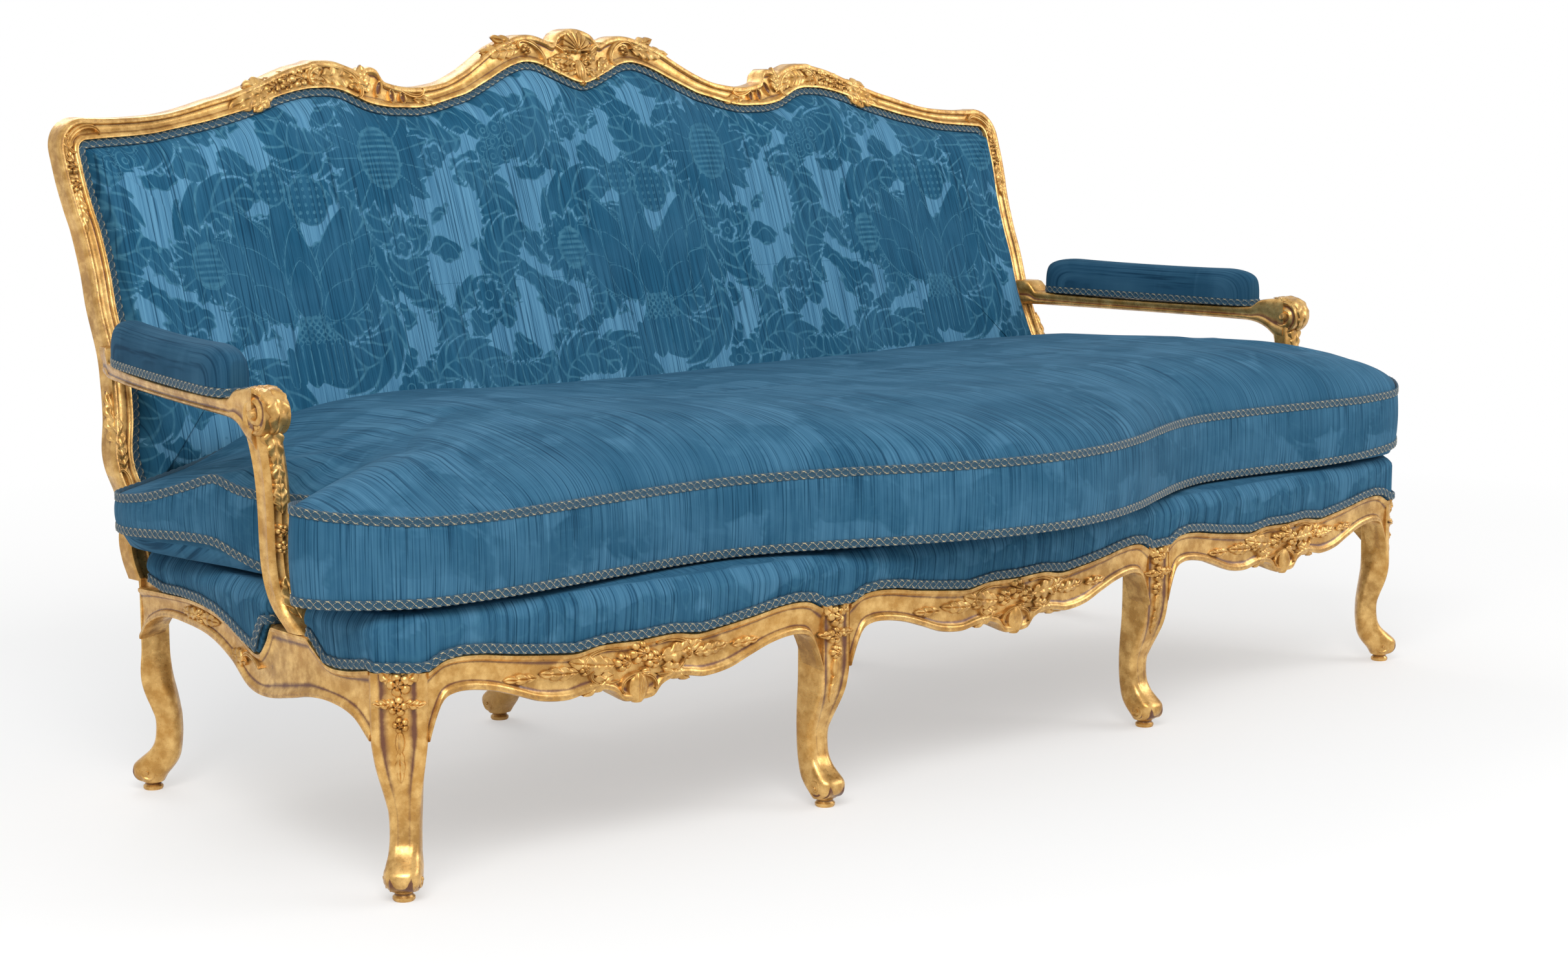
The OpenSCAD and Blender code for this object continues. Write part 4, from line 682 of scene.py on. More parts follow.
def legRings(foot, swing, blockPlan, upperPlan):
    c, s = math.cos(math.radians(swing)), math.sin(math.radians(swing))
    upper = [0.86, 0.885, 0.905, leg["crestShare"], 0.93, 1.0]
    shares = np.concatenate([np.linspace(0.04, 0.82, leg["stations"]), upper])
    rings, level = [], []
    perEdge = leg["perEdge"]
    for share in shares:
        outer = sofa["kneeOut"] * curveAt(legOutShares, share)
        inner = -sofa["kneeOut"] * curveAt(legInShares, share)
        half = blockReach * curveAt(legHalfShares, share)
        cut = leg["chamfer"] * curveAt(legChamferShares, share)
        section = np.array([
            [outer, -half / 2], [outer, half / 2], [outer - cut, half], [inner + cut, half],
            [inner, half / 2], [inner, -half / 2], [inner + cut, -half], [outer - cut, -half]])
        placed = np.stack([foot[0] + section[:, 0] * c - section[:, 1] * s,
                           foot[1] + section[:, 0] * s + section[:, 1] * c], 1)
        turn = float(curveAt(legTurnShares, share))
        plan = upperPlan if share > 0.925 else blockPlan
        corners = placed * (1 - turn) + plan * turn
        ring = roundedRing(corners, perEdge, 0.9 - 0.6 * turn)
        # the front face between the two raised fillets is hollowed on the knee
        t = (np.arange(len(ring)) / perEdge + 1) % len(corners)
        across = np.clip((t - 1.5) / 1.0, -1, 1)
        front = (np.abs(t - 1.5) < 1.0) * np.cos(across * math.pi / 2) ** 0.7
        above, over = float(easeStep(0.10, 0.22, share)), float(easeStep(0.35, 0.6, share))
        knee = above * (0.45 + 0.55 * over) * (share < 0.95)
        back = np.array([c, s])
        bead = np.exp(-((np.abs(t - 1.5) - 0.62) / 0.16) ** 2) * leg["bead"]
        ring = ring - back[None, :] * (front * knee * leg["kneeHollow"] - bead * knee)[:, None]
        rings.append(np.concatenate([ring, np.full((len(ring), 1), share * sofa["frameTop"])], 1))
        edge = np.exp(-((np.abs(t - 1.5) - 0.95) / 0.28) ** 2)
        groove = np.exp(-((np.abs(t - 1.5) - 0.36) / 0.09) ** 2)
        level.append(0.5 + 0.35 * edge * (0.4 + 0.6 * knee) - 0.42 * knee * groove)
    return ringSurface(np.array(rings), np.array(level))


# A turned form about an axis: profile is rows of (radius, along, relief)
def turned(profile, centre, axis, facets=28):
    profile = np.asarray(profile, float)
    axis = np.asarray(axis, float) / np.linalg.norm(axis)
    side = np.cross(axis, [0, 0, 1.0] if abs(axis[2]) < 0.9 else [1.0, 0, 0])
    side /= np.linalg.norm(side)
    other = np.cross(axis, side)
    a = np.linspace(0, 2 * math.pi, facets, endpoint=False)
    circle = np.cos(a)[:, None] * side + np.sin(a)[:, None] * other
    out, along = profile[:, 0][:, None, None], profile[:, 1][:, None, None]
    rings = np.asarray(centre) + out * circle[None] + along * axis
    return ringSurface(rings, np.repeat(profile[:, 2:3], facets, 1))


# heights of the ridge and the eye are for a volute of the drawn radius
volute = {"facets": 36, "steps": 14, "drawnRadius": 0.013, "ridge": 0.0011, "eye": 0.0028, "edgeDrop": 0.0015}


def voluteDrum(centre, axis, radius, width, turns=1.6):
    # a short drum whose two ends carry a spiral ridge and an eye
    facets, steps = volute["facets"], volute["steps"]
    axis = np.asarray(axis, float) / np.linalg.norm(axis)
    side = np.cross(axis, [0, 0, 1.0])
    side /= np.linalg.norm(side)
    up = np.cross(side, axis)
    a = np.linspace(0, 2 * math.pi, facets, endpoint=False)
    circle = np.cos(a)[:, None] * side + np.sin(a)[:, None] * up
    rings, level = [], []
    for end in (-1, 1):
        shares = np.linspace(0.02, 1, steps) if end < 0 else np.linspace(1, 0.02, steps)
        for share in shares:
            wave = np.cos(2 * math.pi * (turns * share) - end * a)
            ridge = volute["ridge"] * wave * np.minimum(share * 3, 1)
            height = (ridge + volute["eye"] * (share < 0.2)) * radius / volute["drawnRadius"]
            edge = -volute["edgeDrop"] * max(share - 0.9, 0) / 0.1
            along = end * (width / 2 + height + edge)
            rings.append(np.asarray(centre) + share * radius * circle + along[:, None] * axis)
            spiral = 0.5 + 0.42 * wave * np.minimum(share * 3, 1)
            level.append(spiral if share > 0.2 else np.full(facets, 0.95))
    return ringSurface(np.array(rings), np.array(level))


def footParts(foot, swing):
    c, s = math.cos(math.radians(swing)), math.sin(math.radians(swing))
    r = sofa["padRadius"]
    profile = [
        (0.001, 0, 0.4), (r * 0.9, 0.0, 0.4), (r, 0.002, 0.6), (r, 0.005, 0.8), (r * 0.82, 0.0075, 0.3),
        (r * 0.78, 0.009, 0.2), (r * 0.95, 0.012, 0.7), (r * 0.95, 0.016, 0.6), (0.001, 0.017, 0.4)]
    footPad = turned(profile, (foot[0], foot[1], 0), (0, 0, 1))
    out = sofa["kneeOut"] * float(curveAt(legOutShares, 0.095)) - leg["scrollRadius"]
    z = leg["padHeight"] + leg["scrollRadius"] - 0.0008
    across = (-s, c, 0)
    front = (foot[0] + out * c, foot[1] + out * s, z)
    roll = voluteDrum(front, across, leg["scrollRadius"], leg["scrollWidth"])
    back = out - 0.008
    behind = (foot[0] + back * c, foot[1] + back * s, z)
    sides = voluteDrum(behind, across, leg["scrollRadius"] - 0.002, leg["sideScrollWidth"])
    return [footPad, roll, sides]


def cornerPlan(inner, outer):
    sx, sy = np.sign(outer[0] - inner[0]), np.sign(outer[1] - inner[1])
    cx, cy = sx * sofa["blockCut"], sy * sofa["blockCut"]
    nx, ny = sx * sofa["nib"], sy * sofa["nib"]
    ring = np.array([
        [outer[0] - cx, outer[1]], [outer[0], outer[1] - cy], [outer[0], inner[1]],
        [(inner[0] + outer[0]) / 2, inner[1]], [inner[0] + nx, inner[1]], [inner[0], inner[1] + ny],
        [inner[0], (inner[1] + outer[1]) / 2], [inner[0], outer[1]]])
    return ring if (outer[0] - inner[0]) * (outer[1] - inner[1]) < 0 else ring[[1, 0, 7, 6, 5, 4, 3, 2]]


def middlePlan(x, inner, outer):
    half, nib = blockReach, sofa["nib"]
    c = np.sign(outer - inner) * nib
    return np.array([
        [x - half + nib, outer], [x + half - nib, outer], [x + half, outer - c], [x + half, inner + c],
        [x + half - nib, inner], [x - half + nib, inner], [x - half, inner + c], [x - half, outer - c]])


def makeLegs():
    inner = (halfFront - blockReach, sideFrontY)
    low = cornerPlan(inner, (halfFront + blockReach, frontFaceY))
    high = cornerPlan(inner, (halfFront + blockReach - sofa["rebate"], frontFaceY + sofa["rebate"]))
    corner = [legRings((halfFront, 0), -45, low, high)] + footParts((halfFront, 0), -45)
    face = float(frontFace(halfMid))
    low = middlePlan(halfMid, face + sofa["block"], face)
    high = middlePlan(halfMid, face + sofa["block"], face + sofa["rebate"])
    foot = (halfMid, -sofa["midForward"])
    middle = [legRings(foot, -90, low, high)] + footParts(foot, -90)
    foot = (halfMid, sofa["seatDepth"] + sofa["padRadius"] / 2)
    plan = middlePlan(halfMid, rearFaceY, rearOuterY)[[1, 0, 7, 6, 5, 4, 3, 2]]
    rearMiddle = [legRings(foot, 90, plan, plan)] + footParts(foot, 90)
    foot = (halfRear, sofa["seatDepth"])
    half = sofa["rearBlock"] / 2
    plan = cornerPlan((halfRear - half, rearFaceY), (halfRear + half, rearOuterY))
    rearCorner = [legRings(foot, 45, plan, plan)] + footParts(foot, 45) + [makeStileFace()]
    return corner, middle, rearMiddle, rearCorner


# Show rails of the seat, by shares of each bay and of the side
railLowShares = [
    [0, 0.662], [0.07, 0.668], [0.11, 0.71], [0.18, 0.732], [0.25, 0.726], [0.33, 0.712], [0.45, 0.727],
    [0.56, 0.768], [0.66, 0.803], [0.76, 0.822], [0.83, 0.82], [0.88, 0.795], [0.915, 0.72], [0.94, 0.64]]
railTopShares = [
    [0, 0.918], [0.18, 0.923], [0.29, 0.905], [0.42, 0.918], [0.58, 0.94], [0.74, 0.966], [0.86, 0.964],
    [0.94, 0.925]]
sideLowShares = [
    [0, 0.64], [0.05, 0.72], [0.12, 0.755], [0.2, 0.752], [0.28, 0.72], [0.38, 0.688], [0.46, 0.705],
    [0.54, 0.79], [0.64, 0.85], [0.76, 0.868], [0.88, 0.86], [0.96, 0.8], [1, 0.72]]
sideTopShares = [
    [0, 0.93], [0.08, 0.905], [0.14, 0.91], [0.19, 0.97], [0.212, 0.998], [0.348, 0.998], [0.37, 0.93],
    [0.41, 0.862], [0.5, 0.91], [0.6, 0.965], [0.72, 0.985], [0.86, 0.975], [1, 0.96]]
bayCentres = [-(halfFront + halfMid) / 2, 0, (halfFront + halfMid) / 2]
endReach = (halfFront - halfMid) / 2 - blockReach
bayReach = [endReach, halfMid - blockReach, endReach]
rail = {"steps": 150, "sideSteps": 170}


def bayShare(i, x):
    return np.abs(np.asarray(x) - bayCentres[i]) / bayReach[i] * 0.94


def frontLow(i, x):
    return sofa["frameTop"] * curveAt(railLowShares, bayShare(i, x))


def frontTop(i, x):
    return sofa["frameTop"] * curveAt(railTopShares, bayShare(i, x))


def sideLow(y):
    return sofa["frameTop"] * curveAt(sideLowShares, sideShare(y))


def sideTop(y):
    return sofa["frameTop"] * curveAt(sideTopShares, sideShare(y))


def railRings(low, top):
    # depth behind the face and height of each point of the section
    d, n, relief = mouldedFace(top - low)
    high = np.full_like(low, sofa["frameTop"])
    deep = [0.003, sofa["rebate"], sofa["rebate"], sofa["railThick"], sofa["railThick"], 0.012]
    depth = np.concatenate([-n + 0 * low[:, None], np.repeat([deep], len(low), 0)], 1)
    behind = np.stack([top + 0.0005, top + 0.0005, high, high, low + 0.006, low + 0.001], 1)
    height = np.concatenate([low[:, None] + d, behind], 1)
    relief = np.concatenate([relief, np.full((len(low), 6), 0.4)], 1)
    return depth, height, relief


def makeFrontRail(i):
    x = bayCentres[i] + bayReach[i] * np.linspace(-1, 1, rail["steps"])
    depth, height, relief = railRings(frontLow(i, x), frontTop(i, x))
    rings = np.stack([np.repeat(x[:, None], depth.shape[1], 1), frontFace(x)[:, None] + depth, height], -1)
    return ringSurface(rings, relief)


def makeSideRail():
    y = sideFrontY + sideRun * np.linspace(0, 1, rail["sideSteps"])
    top = np.minimum(sideTop(y), sofa["frameTop"] - sofa["clearance"])
    depth, height, relief = railRings(sideLow(y), top)
    rings = np.stack([sideFace(y)[:, None] - depth, np.repeat(y[:, None], depth.shape[1], 1), height], -1)
    return ringSurface(rings, relief)


# Arms and their posts
armXShares = [[0, 0], [0.1, 0.17], [0.3, 0.42], [0.55, 0.68], [0.82, 0.9], [1, 1]]
armRiseShares = [[0, 0.8], [0.035, 0.72], [0.06, 0], [0.87, 0], [0.91, 0.55], [1, 0.75]]
armDropShares = [[0, 0], [0.84, 0], [0.89, 0.12], [0.93, 0.5], [0.965, 1.1], [1, 1.45]]
postPathShares = [
    [0, 0], [0.1, 0.6], [0.2, 0.86], [0.32, 0.94], [0.45, 0.9], [0.6, 0.82], [0.75, 0.8], [0.88, 0.87],
    [1, 1]]
postDepthShares = [
    [0, 1], [0.07, 0.88], [0.15, 0.84], [0.3, 0.86], [0.6, 0.9], [0.85, 0.98], [1, 1.2]]
# across, up and relief of each corner of the arm's section
armSection = [
    [-0.93, 0.12, 0.4], [-0.6, 0, 0.4], [0.6, 0, 0.4], [0.93, 0.12, 0.5], [1.06, 0.2, 0.95],
    [1.06, 0.3, 0.9], [0.95, 0.38, 0.15], [0.95, 0.55, 0.5], [1.03, 0.7, 0.8], [1.03, 0.88, 0.9],
    [0.85, 1, 0.6], [-0.85, 1, 0.6], [-1.03, 0.88, 0.9], [-1.03, 0.7, 0.8], [-0.95, 0.55, 0.5],
    [-0.95, 0.38, 0.15], [-1.06, 0.3, 0.9], [-1.06, 0.2, 0.95]]
arm = {"steps": 90, "postSteps": 80, "sweep": 0.050, "flute": 0.0034, "scrollShare": 0.94}
armBackY = backY0 + armRest * lean
armRearX = float(stileOut(armRest)) - sofa["faceWidth"] / 3
postFootY = sideFrontY + 0.253 * sideRun
postFootX = float(sideFace(postFootY)) - sofa["postWidth"] / 2 + 0.003
postTall = sofa["armLow"] - 0.1 * sofa["armThick"] - sofa["frameTop"]


def armX(y):
    share = (armBackY - np.asarray(y)) / (armBackY - sofa["armSetback"])
    return armRearX + 1.6 * sofa["sideTaper"] * curveAt(armXShares, share)


def armLift(y):
    return sofa["armRise"] * (np.asarray(y) - sofa["armSetback"]) / (armBackY - sofa["armSetback"])


armFrontX = float(armX(sofa["armSetback"]))
scrollZ = sofa["armLow"] + 0.4 * sofa["armScroll"]
scrollRadius = arm["scrollShare"] * sofa["armScroll"]


def makeArm():
    share = np.linspace(0, 1, arm["steps"])
    y = armBackY + (sofa["armSetback"] - armBackY) * share
    high = sofa["armThick"] * (1 + curveAt(armRiseShares, share))
    ring = roundedRing(np.array(armSection), 3, 0.5)
    # the front end deepens into a bracket over the post
    drop = sofa["armThick"] * curveAt(armDropShares, share)
    z = sofa["armLow"] + (armLift(y) - drop)[:, None] + ring[None, :, 1] * (high + drop)[:, None]
    x = armX(y)[:, None] + ring[None, :, 0] * sofa["armWidth"] / 2
    yy = np.repeat(y[:, None], len(ring), 1)
    yy[0] = backY0 + z[0] * lean
    relief = np.repeat(ring[None, :, 2], len(y), 0)
    beam = ringSurface(np.stack([x, yy, z], -1), relief)
    centre = (armFrontX, sofa["armSetback"], scrollZ)
    return [beam, voluteDrum(centre, (1, 0, 0), scrollRadius, 0.9 * sofa["armWidth"], 2.1)]


def makePost():
    share = np.linspace(0, 1, arm["postSteps"])
    z = sofa["frameTop"] + postTall * share
    x = postFootX + (armFrontX - postFootX) * share
    y = postFootY + arm["sweep"] * curveAt(postPathShares, share)
    half = sofa["postWidth"] / 2 * curveAt(postDepthShares, share)
    corners = [[-1, -0.6], [-0.6, -1], [0.6, -1], [1, -0.6], [1, 0.6], [0.6, 1], [-0.6, 1], [-1, 0.6]]
    ring = roundedRing(np.array(corners), 8, 0.35)
    t = np.arange(len(ring)) / 8.0
    front = (t >= 1) & (t <= 2)
    flutes = np.where(front, np.abs(np.sin(math.pi * 2 * (t - 1))), 0)
    outside = np.where((t >= 3) & (t <= 4), np.abs(np.sin(math.pi * (t - 3))), 0)
    level = 0.75 - 0.45 * flutes - 0.35 * outside
    fade = easeStep(0.12, 0.2, share) * (1 - easeStep(0.86, 0.94, share))
    px = x[:, None] + ring[None, :, 0] * sofa["postWidth"] / 2 - (outside[None] * fade[:, None]) * 0.0018
    py = y[:, None] + ring[None, :, 1] * half[:, None] + arm["flute"] * flutes[None] * fade[:, None]
    pz = np.repeat(z[:, None], len(ring), 1)
    return [ringSurface(np.stack([px, py, pz], -1), level[None] + 0 * z[:, None])]


# Carving: leaves, flowers, scrolls and shells, laid on a surface by a placing function
carving = {"leafRise": 0.0075, "flowerRise": 0.0080, "scrollRise": 0.0065, "shellRise": 0.0105,
           "sunk": 0.0022, "lift": 0.0008}


def leafShape(length, width, lobes=4, bend=0.0, rise=None, curl=0.0):
    rise = carving["leafRise"] if rise is None else rise
    u = np.linspace(0, 1, 34)[:, None]
    v = np.linspace(-1, 1, 17)[None, :]
    teeth = np.abs(np.sin(lobes * math.pi * u ** 0.9)) ** 0.7
    half = width / 2 * np.sin(math.pi * np.clip(u, 0.01, 0.995) ** 0.8) ** 0.65 * (0.78 + 0.32 * teeth)
    p = length * (u + (0.10 - 0.06 * teeth) * v**2 * (1 - u))
    q = half * v + bend * length * u**2
    along = np.sin(math.pi * np.clip(u * 0.93 + 0.04, 0, 1)) ** 0.45
    crown = np.sqrt(np.maximum(1 - v**2, 0)) ** 0.8 * along
    rib = 0.16 * np.cos(2 * math.pi * (lobes * u ** 0.9 - 0.55 * np.abs(v)))
    groove = 0.30 * np.exp(-(v / 0.13) ** 2)
    high = rise * (crown * (0.85 + rib) - groove * crown) + curl * u**3
    high = np.where(np.abs(v) > 0.99, -carving["sunk"], high)
    relief = np.clip(0.28 + 0.62 * crown + 0.9 * rib - 0.75 * groove, 0, 1)
    return np.stack([p, q, high], -1), relief


def flowerShape(radius, petals=5, rise=None):
    rise = carving["flowerRise"] if rise is None else rise
    s = np.linspace(0.03, 1, 12)[:, None]
    a = np.linspace(0, 2 * math.pi, petals * 10 + 1)[None, :]
    lobe = np.abs(np.cos(petals * a / 2)) ** 0.55
    r = radius * s * (1 - 0.34 * (1 - lobe) * s)
    heart = np.exp(-(s / 0.26) ** 2)
    cup = np.sin(math.pi * np.clip(0.12 + 0.80 * s, 0, 1)) ** 0.8
    groove = np.exp(-((s - 0.36) / 0.09) ** 2)
    high = rise * (0.85 * cup * (0.55 + 0.45 * lobe) + 0.75 * heart - 0.35 * groove)
    high = np.where(s > 0.99, -carving["sunk"], high)
    relief = np.clip(0.15 + 0.75 * lobe * cup + 0.6 * heart - 0.5 * groove, 0, 1)
    return np.stack([r * np.cos(a), r * np.sin(a), high], -1), relief


def budShape(length, width, ridges=5, rise=None):
    rise = carving["flowerRise"] if rise is None else rise
    u = np.linspace(0, 1, 18)[:, None]
    v = np.linspace(-1, 1, 21)[None, :]
    half = width / 2 * np.sin(math.pi * np.clip(0.06 + 0.9 * u, 0, 1)) ** 0.6
    crown = np.sqrt(np.maximum(1 - v**2, 0)) * np.sin(math.pi * np.clip(0.08 + 0.86 * u, 0, 1)) ** 0.5
    flute = np.abs(np.cos(ridges * math.pi * v / 2)) ** 0.6
    high = np.where(np.abs(v) > 0.99, -carving["sunk"], rise * crown * (0.72 + 0.28 * flute))
    relief = np.clip(0.2 + 0.5 * crown + 0.35 * flute, 0, 1)
    return np.stack([length * (u - 0.5) + 0 * v, half * v, high], -1), relief


def ovalShape(length, width):
    s = np.array([0.02, 0.4, 0.62, 0.74, 0.86, 0.94, 1.0])[:, None]
    a = np.linspace(0, 2 * math.pi, 29)[None, :]
    high = np.array([-0.0005, -0.0005, 0.0012, 0.0042, 0.0046, 0.003, -0.002])[:, None] + 0 * a
    relief = np.array([0.0, 0.0, 0.1, 0.8, 0.95, 0.6, 0.4])[:, None] + 0 * a
    return np.stack([length / 2 * s * np.cos(a), width / 2 * s * np.sin(a), high], -1), relief


def shellShape(radius, flutes=9, spread=200):
    s = np.linspace(0.05, 1, 16)[:, None]
    a = np.radians(np.linspace(-spread / 2, spread / 2, flutes * 10 + 1))[None, :]
    k = (a / np.radians(spread) + 0.5) * flutes
    lobe = np.abs(np.sin(math.pi * k)) ** 0.6
    r = radius * s * (0.90 + 0.10 * lobe * s) * (0.78 + 0.22 * np.cos(a * 0.9))
    dish = 0.35 + 0.65 * np.sin(math.pi * np.clip(0.1 + 0.82 * s, 0, 1)) ** 0.7
    high = carving["shellRise"] * dish * (0.62 + 0.38 * lobe)
    high = np.where(s > 0.99, -carving["sunk"], high)
    relief = np.clip(0.1 + 0.85 * lobe * (0.4 + 0.6 * s), 0, 1)
    return np.stack([r * np.cos(a), r * np.sin(a), high], -1), relief


def scrollShape(length, width, startTurn=5.0, endTurn=5.0, arc=1.6, rise=None):
    # a ribbon whose path winds up at one or both ends
    rise = carving["scrollRise"] if rise is None else rise
    s = np.linspace(0, 1, 110)
    curl = arc + startTurn * 5.2 * np.exp(-s / 0.11) + endTurn * 5.2 * np.exp(-(1 - s) / 0.11)
    angle = np.concatenate([[0], np.cumsum(0.5 * (curl[1:] + curl[:-1]) * np.diff(s))])
    angle -= angle[len(s) // 2]
    step = np.diff(s)[:, None] * length
    mid = 0.5 * (angle[1:] + angle[:-1])
    path = np.concatenate([[[0, 0]], np.cumsum(np.stack([np.cos(mid), np.sin(mid)], 1) * step, 0)])
    path -= path[len(s) // 2]
    ends = np.minimum(s / 0.05, 1) * np.minimum((1 - s) / 0.05, 1)
    half = width / 2 * (0.42 + 0.58 * np.sin(math.pi * s) ** 0.8) * (0.5 + 0.5 * ends)
    normal = np.stack([-np.sin(angle), np.cos(angle)], 1)
    c = np.linspace(-1, 1, 9)
    flat = path[:, None, :] + normal[:, None, :] * (half[:, None] * c)[..., None]
    lift = 1 + 0.5 * (startTurn > 0) * np.exp(-s / 0.07) + 0.5 * (endTurn > 0) * np.exp(-(1 - s) / 0.07)
    dome = np.sqrt(np.maximum(1 - c**2, 0)) - 0.34 * np.exp(-(c / 0.22) ** 2)
    high = rise * lift[:, None] * dome[None]
    high[:, 0] = high[:, -1] = -carving["sunk"]
    relief = np.clip(0.35 + 0.6 * np.abs(c) - 0.2 * (np.abs(c) > 0.95), 0, 1)[None] + 0 * high
    return np.concatenate([flat, high[..., None]], -1), relief


def carve(shape, place, u, v, angle=0.0, flip=False):
    local, relief = shape
    p, q = local[..., 0], local[..., 1] * (-1 if flip else 1)
    c, s = math.cos(math.radians(angle)), math.sin(math.radians(angle))
    return ringSurface(place(u + p * c - q * s, v + p * s + q * c, local[..., 2]), relief, closed=False)


# marks are rows of shape, place along and up the surface, angle, and whether it is turned over
def carveAll(place, marks):
    return [carve(shape, place, *where) for shape, *where in marks]


def onBackFace(u, v, h):
    return leant(u, v, h - moulding["hollow"] + carving["lift"])


def onFrontRail(u, v, h):
    return np.stack([u, frontFace(u) + moulding["hollow"] - carving["lift"] - h, v], -1)


def onSideRail(u, v, h):
    return np.stack([sideFace(u) - moulding["hollow"] + carving["lift"] + h, u, v], -1)


def crestPoint(x, share=0.5):
    high, low = float(crestHigh(x)), float(crestLow(x))
    step = 0.004
    ahead = float(crestHigh(x + step) + crestLow(x + step))
    slope = (ahead - float(crestHigh(x - step) + crestLow(x - step))) / 0.016
    return low + (high - low) * share, math.degrees(math.atan(slope))


def crestCarving():
    parts = []

    def add(shape, x, share, turn=0.0, flip=False):
        z, slope = crestPoint(x, share)
        part = carve(shape, onBackFace, x, z, slope + turn, flip)
        parts.extend([part, mirrored(part)])

    # leaves and flowers on each shoulder of the crest
    add(leafShape(0.080, 0.034, 4), 0.612, 0.5, -2)
    add(leafShape(0.050, 0.026, 3), 0.606, 0.62, 16)
    add(leafShape(0.050, 0.026, 3), 0.606, 0.40, -22, flip=True)
    add(flowerShape(0.0165, 5), 0.603, 0.52)
    add(flowerShape(0.0130, 5), 0.580, 0.66)
    add(flowerShape(0.0130, 5), 0.577, 0.36)
    add(flowerShape(0.0185, 6, 0.0095), 0.553, 0.52)
    add(leafShape(0.040, 0.022, 3), 0.540, 0.60, 165)
    add(leafShape(0.036, 0.020, 3), 0.540, 0.38, 195, flip=True)
    # C-scroll with two leaves inside it
    add(scrollShape(0.150, 0.0125, 4.2, 4.2, 1.5), 0.482, 0.86, 180)
    add(leafShape(0.066, 0.036, 4, 0.08), 0.512, 0.44, 180)
    add(leafShape(0.040, 0.022, 3, -0.2), 0.470, 0.36, 160, flip=True)
    # lug, three oval slots and the small curl beside them
    add(leafShape(0.042, 0.026, 3, 0.22, 0.009), 0.432, 0.30, 82)
    for x, long in ((0.411, 0.030), (0.389, 0.026), (0.369, 0.022)):
        add(ovalShape(long, 0.0125), x, 0.48, 86)
    add(scrollShape(0.062, 0.0085, 4.5, 0.0, 1.0), 0.352, 0.62, 12)
    add(leafShape(0.046, 0.018, 3, 0.1), 0.350, 0.42, 184)
    # slim acanthus towards the centre, and its curl
    add(leafShape(0.082, 0.026, 5, 0.06), 0.118, 0.52, 0)
    add(leafShape(0.052, 0.020, 3, 0.12), 0.120, 0.70, 14)
    add(scrollShape(0.088, 0.0100, 4.6, 3.2, 1.4), 0.088, 0.70, 200)
    add(leafShape(0.038, 0.022, 3, 0.1), 0.062, 0.42, 200)
    add(flowerShape(0.0095, 5), 0.104, 0.46)
    # centre: a shell, three flowers, leaves and a curl on each side, and a fluted drop with a ball
    top = float(crestHigh(0.0))
    parts += carveAll(onBackFace, [
        (shellShape(0.036, 9, 190), 0, top - 0.036, 90), (flowerShape(0.0125, 5, 0.011), 0, top - 0.030, 10),
        (flowerShape(0.0105, 5, 0.011), 0.022, top - 0.037, 10),
        (flowerShape(0.0105, 5, 0.011), -0.022, top - 0.037, 10)])
    for s in (1, -1):
        parts += carveAll(onBackFace, [
            (leafShape(0.046, 0.022, 4, 0.2 * s, 0.0085), 0.006 * s, top - 0.056, 90 - 68 * s, s < 0),
            (leafShape(0.034, 0.017, 3, -0.2 * s, 0.0080), 0.008 * s, top - 0.066, 90 - 108 * s, s < 0),
            (scrollShape(0.060, 0.0085, 4.2, 0.0, 1.2), 0.036 * s, top - 0.030, 90 - 60 * s, s > 0)])
    parts += carveAll(onBackFace, [
        (budShape(0.034, 0.024, 7, 0.0095), 0, top - 0.068, 90),
        (flowerShape(0.0062, 5, 0.009), 0, top - 0.0885, 0)])
    return parts


def stileCarving():
    def middle(z):
        return float(stileOut(z)) - 0.5 * sofa["faceWidth"]

    # corner curls, two flowers and husks, then acanthus climbing the lower stile
    return carveAll(onBackFace, [
        (scrollShape(0.085, 0.0105, 5.0, 3.0, 1.4), cornerX + 0.014, cornerZ + 0.030, 150),
        (scrollShape(0.052, 0.0085, 4.5, 0.0, 1.2), cornerX + 0.037, cornerZ + 0.008, 110),
        (flowerShape(0.0135, 5), middle(0.866), 0.866, 20),
        (flowerShape(0.0115, 5), middle(0.840), 0.840, 60),
        (leafShape(0.066, 0.022, 4), middle(0.832), 0.834, -90),
        (leafShape(0.040, 0.018, 3), middle(0.880), 0.878, 92),
        (leafShape(0.105, 0.027, 6), middle(0.455), 0.452, 88),
        (leafShape(0.050, 0.022, 4, 0.12), middle(0.448), 0.446, 80),
        (scrollShape(0.056, 0.0085, 4.4, 0.0, 1.0), middle(0.430), 0.432, -95)])


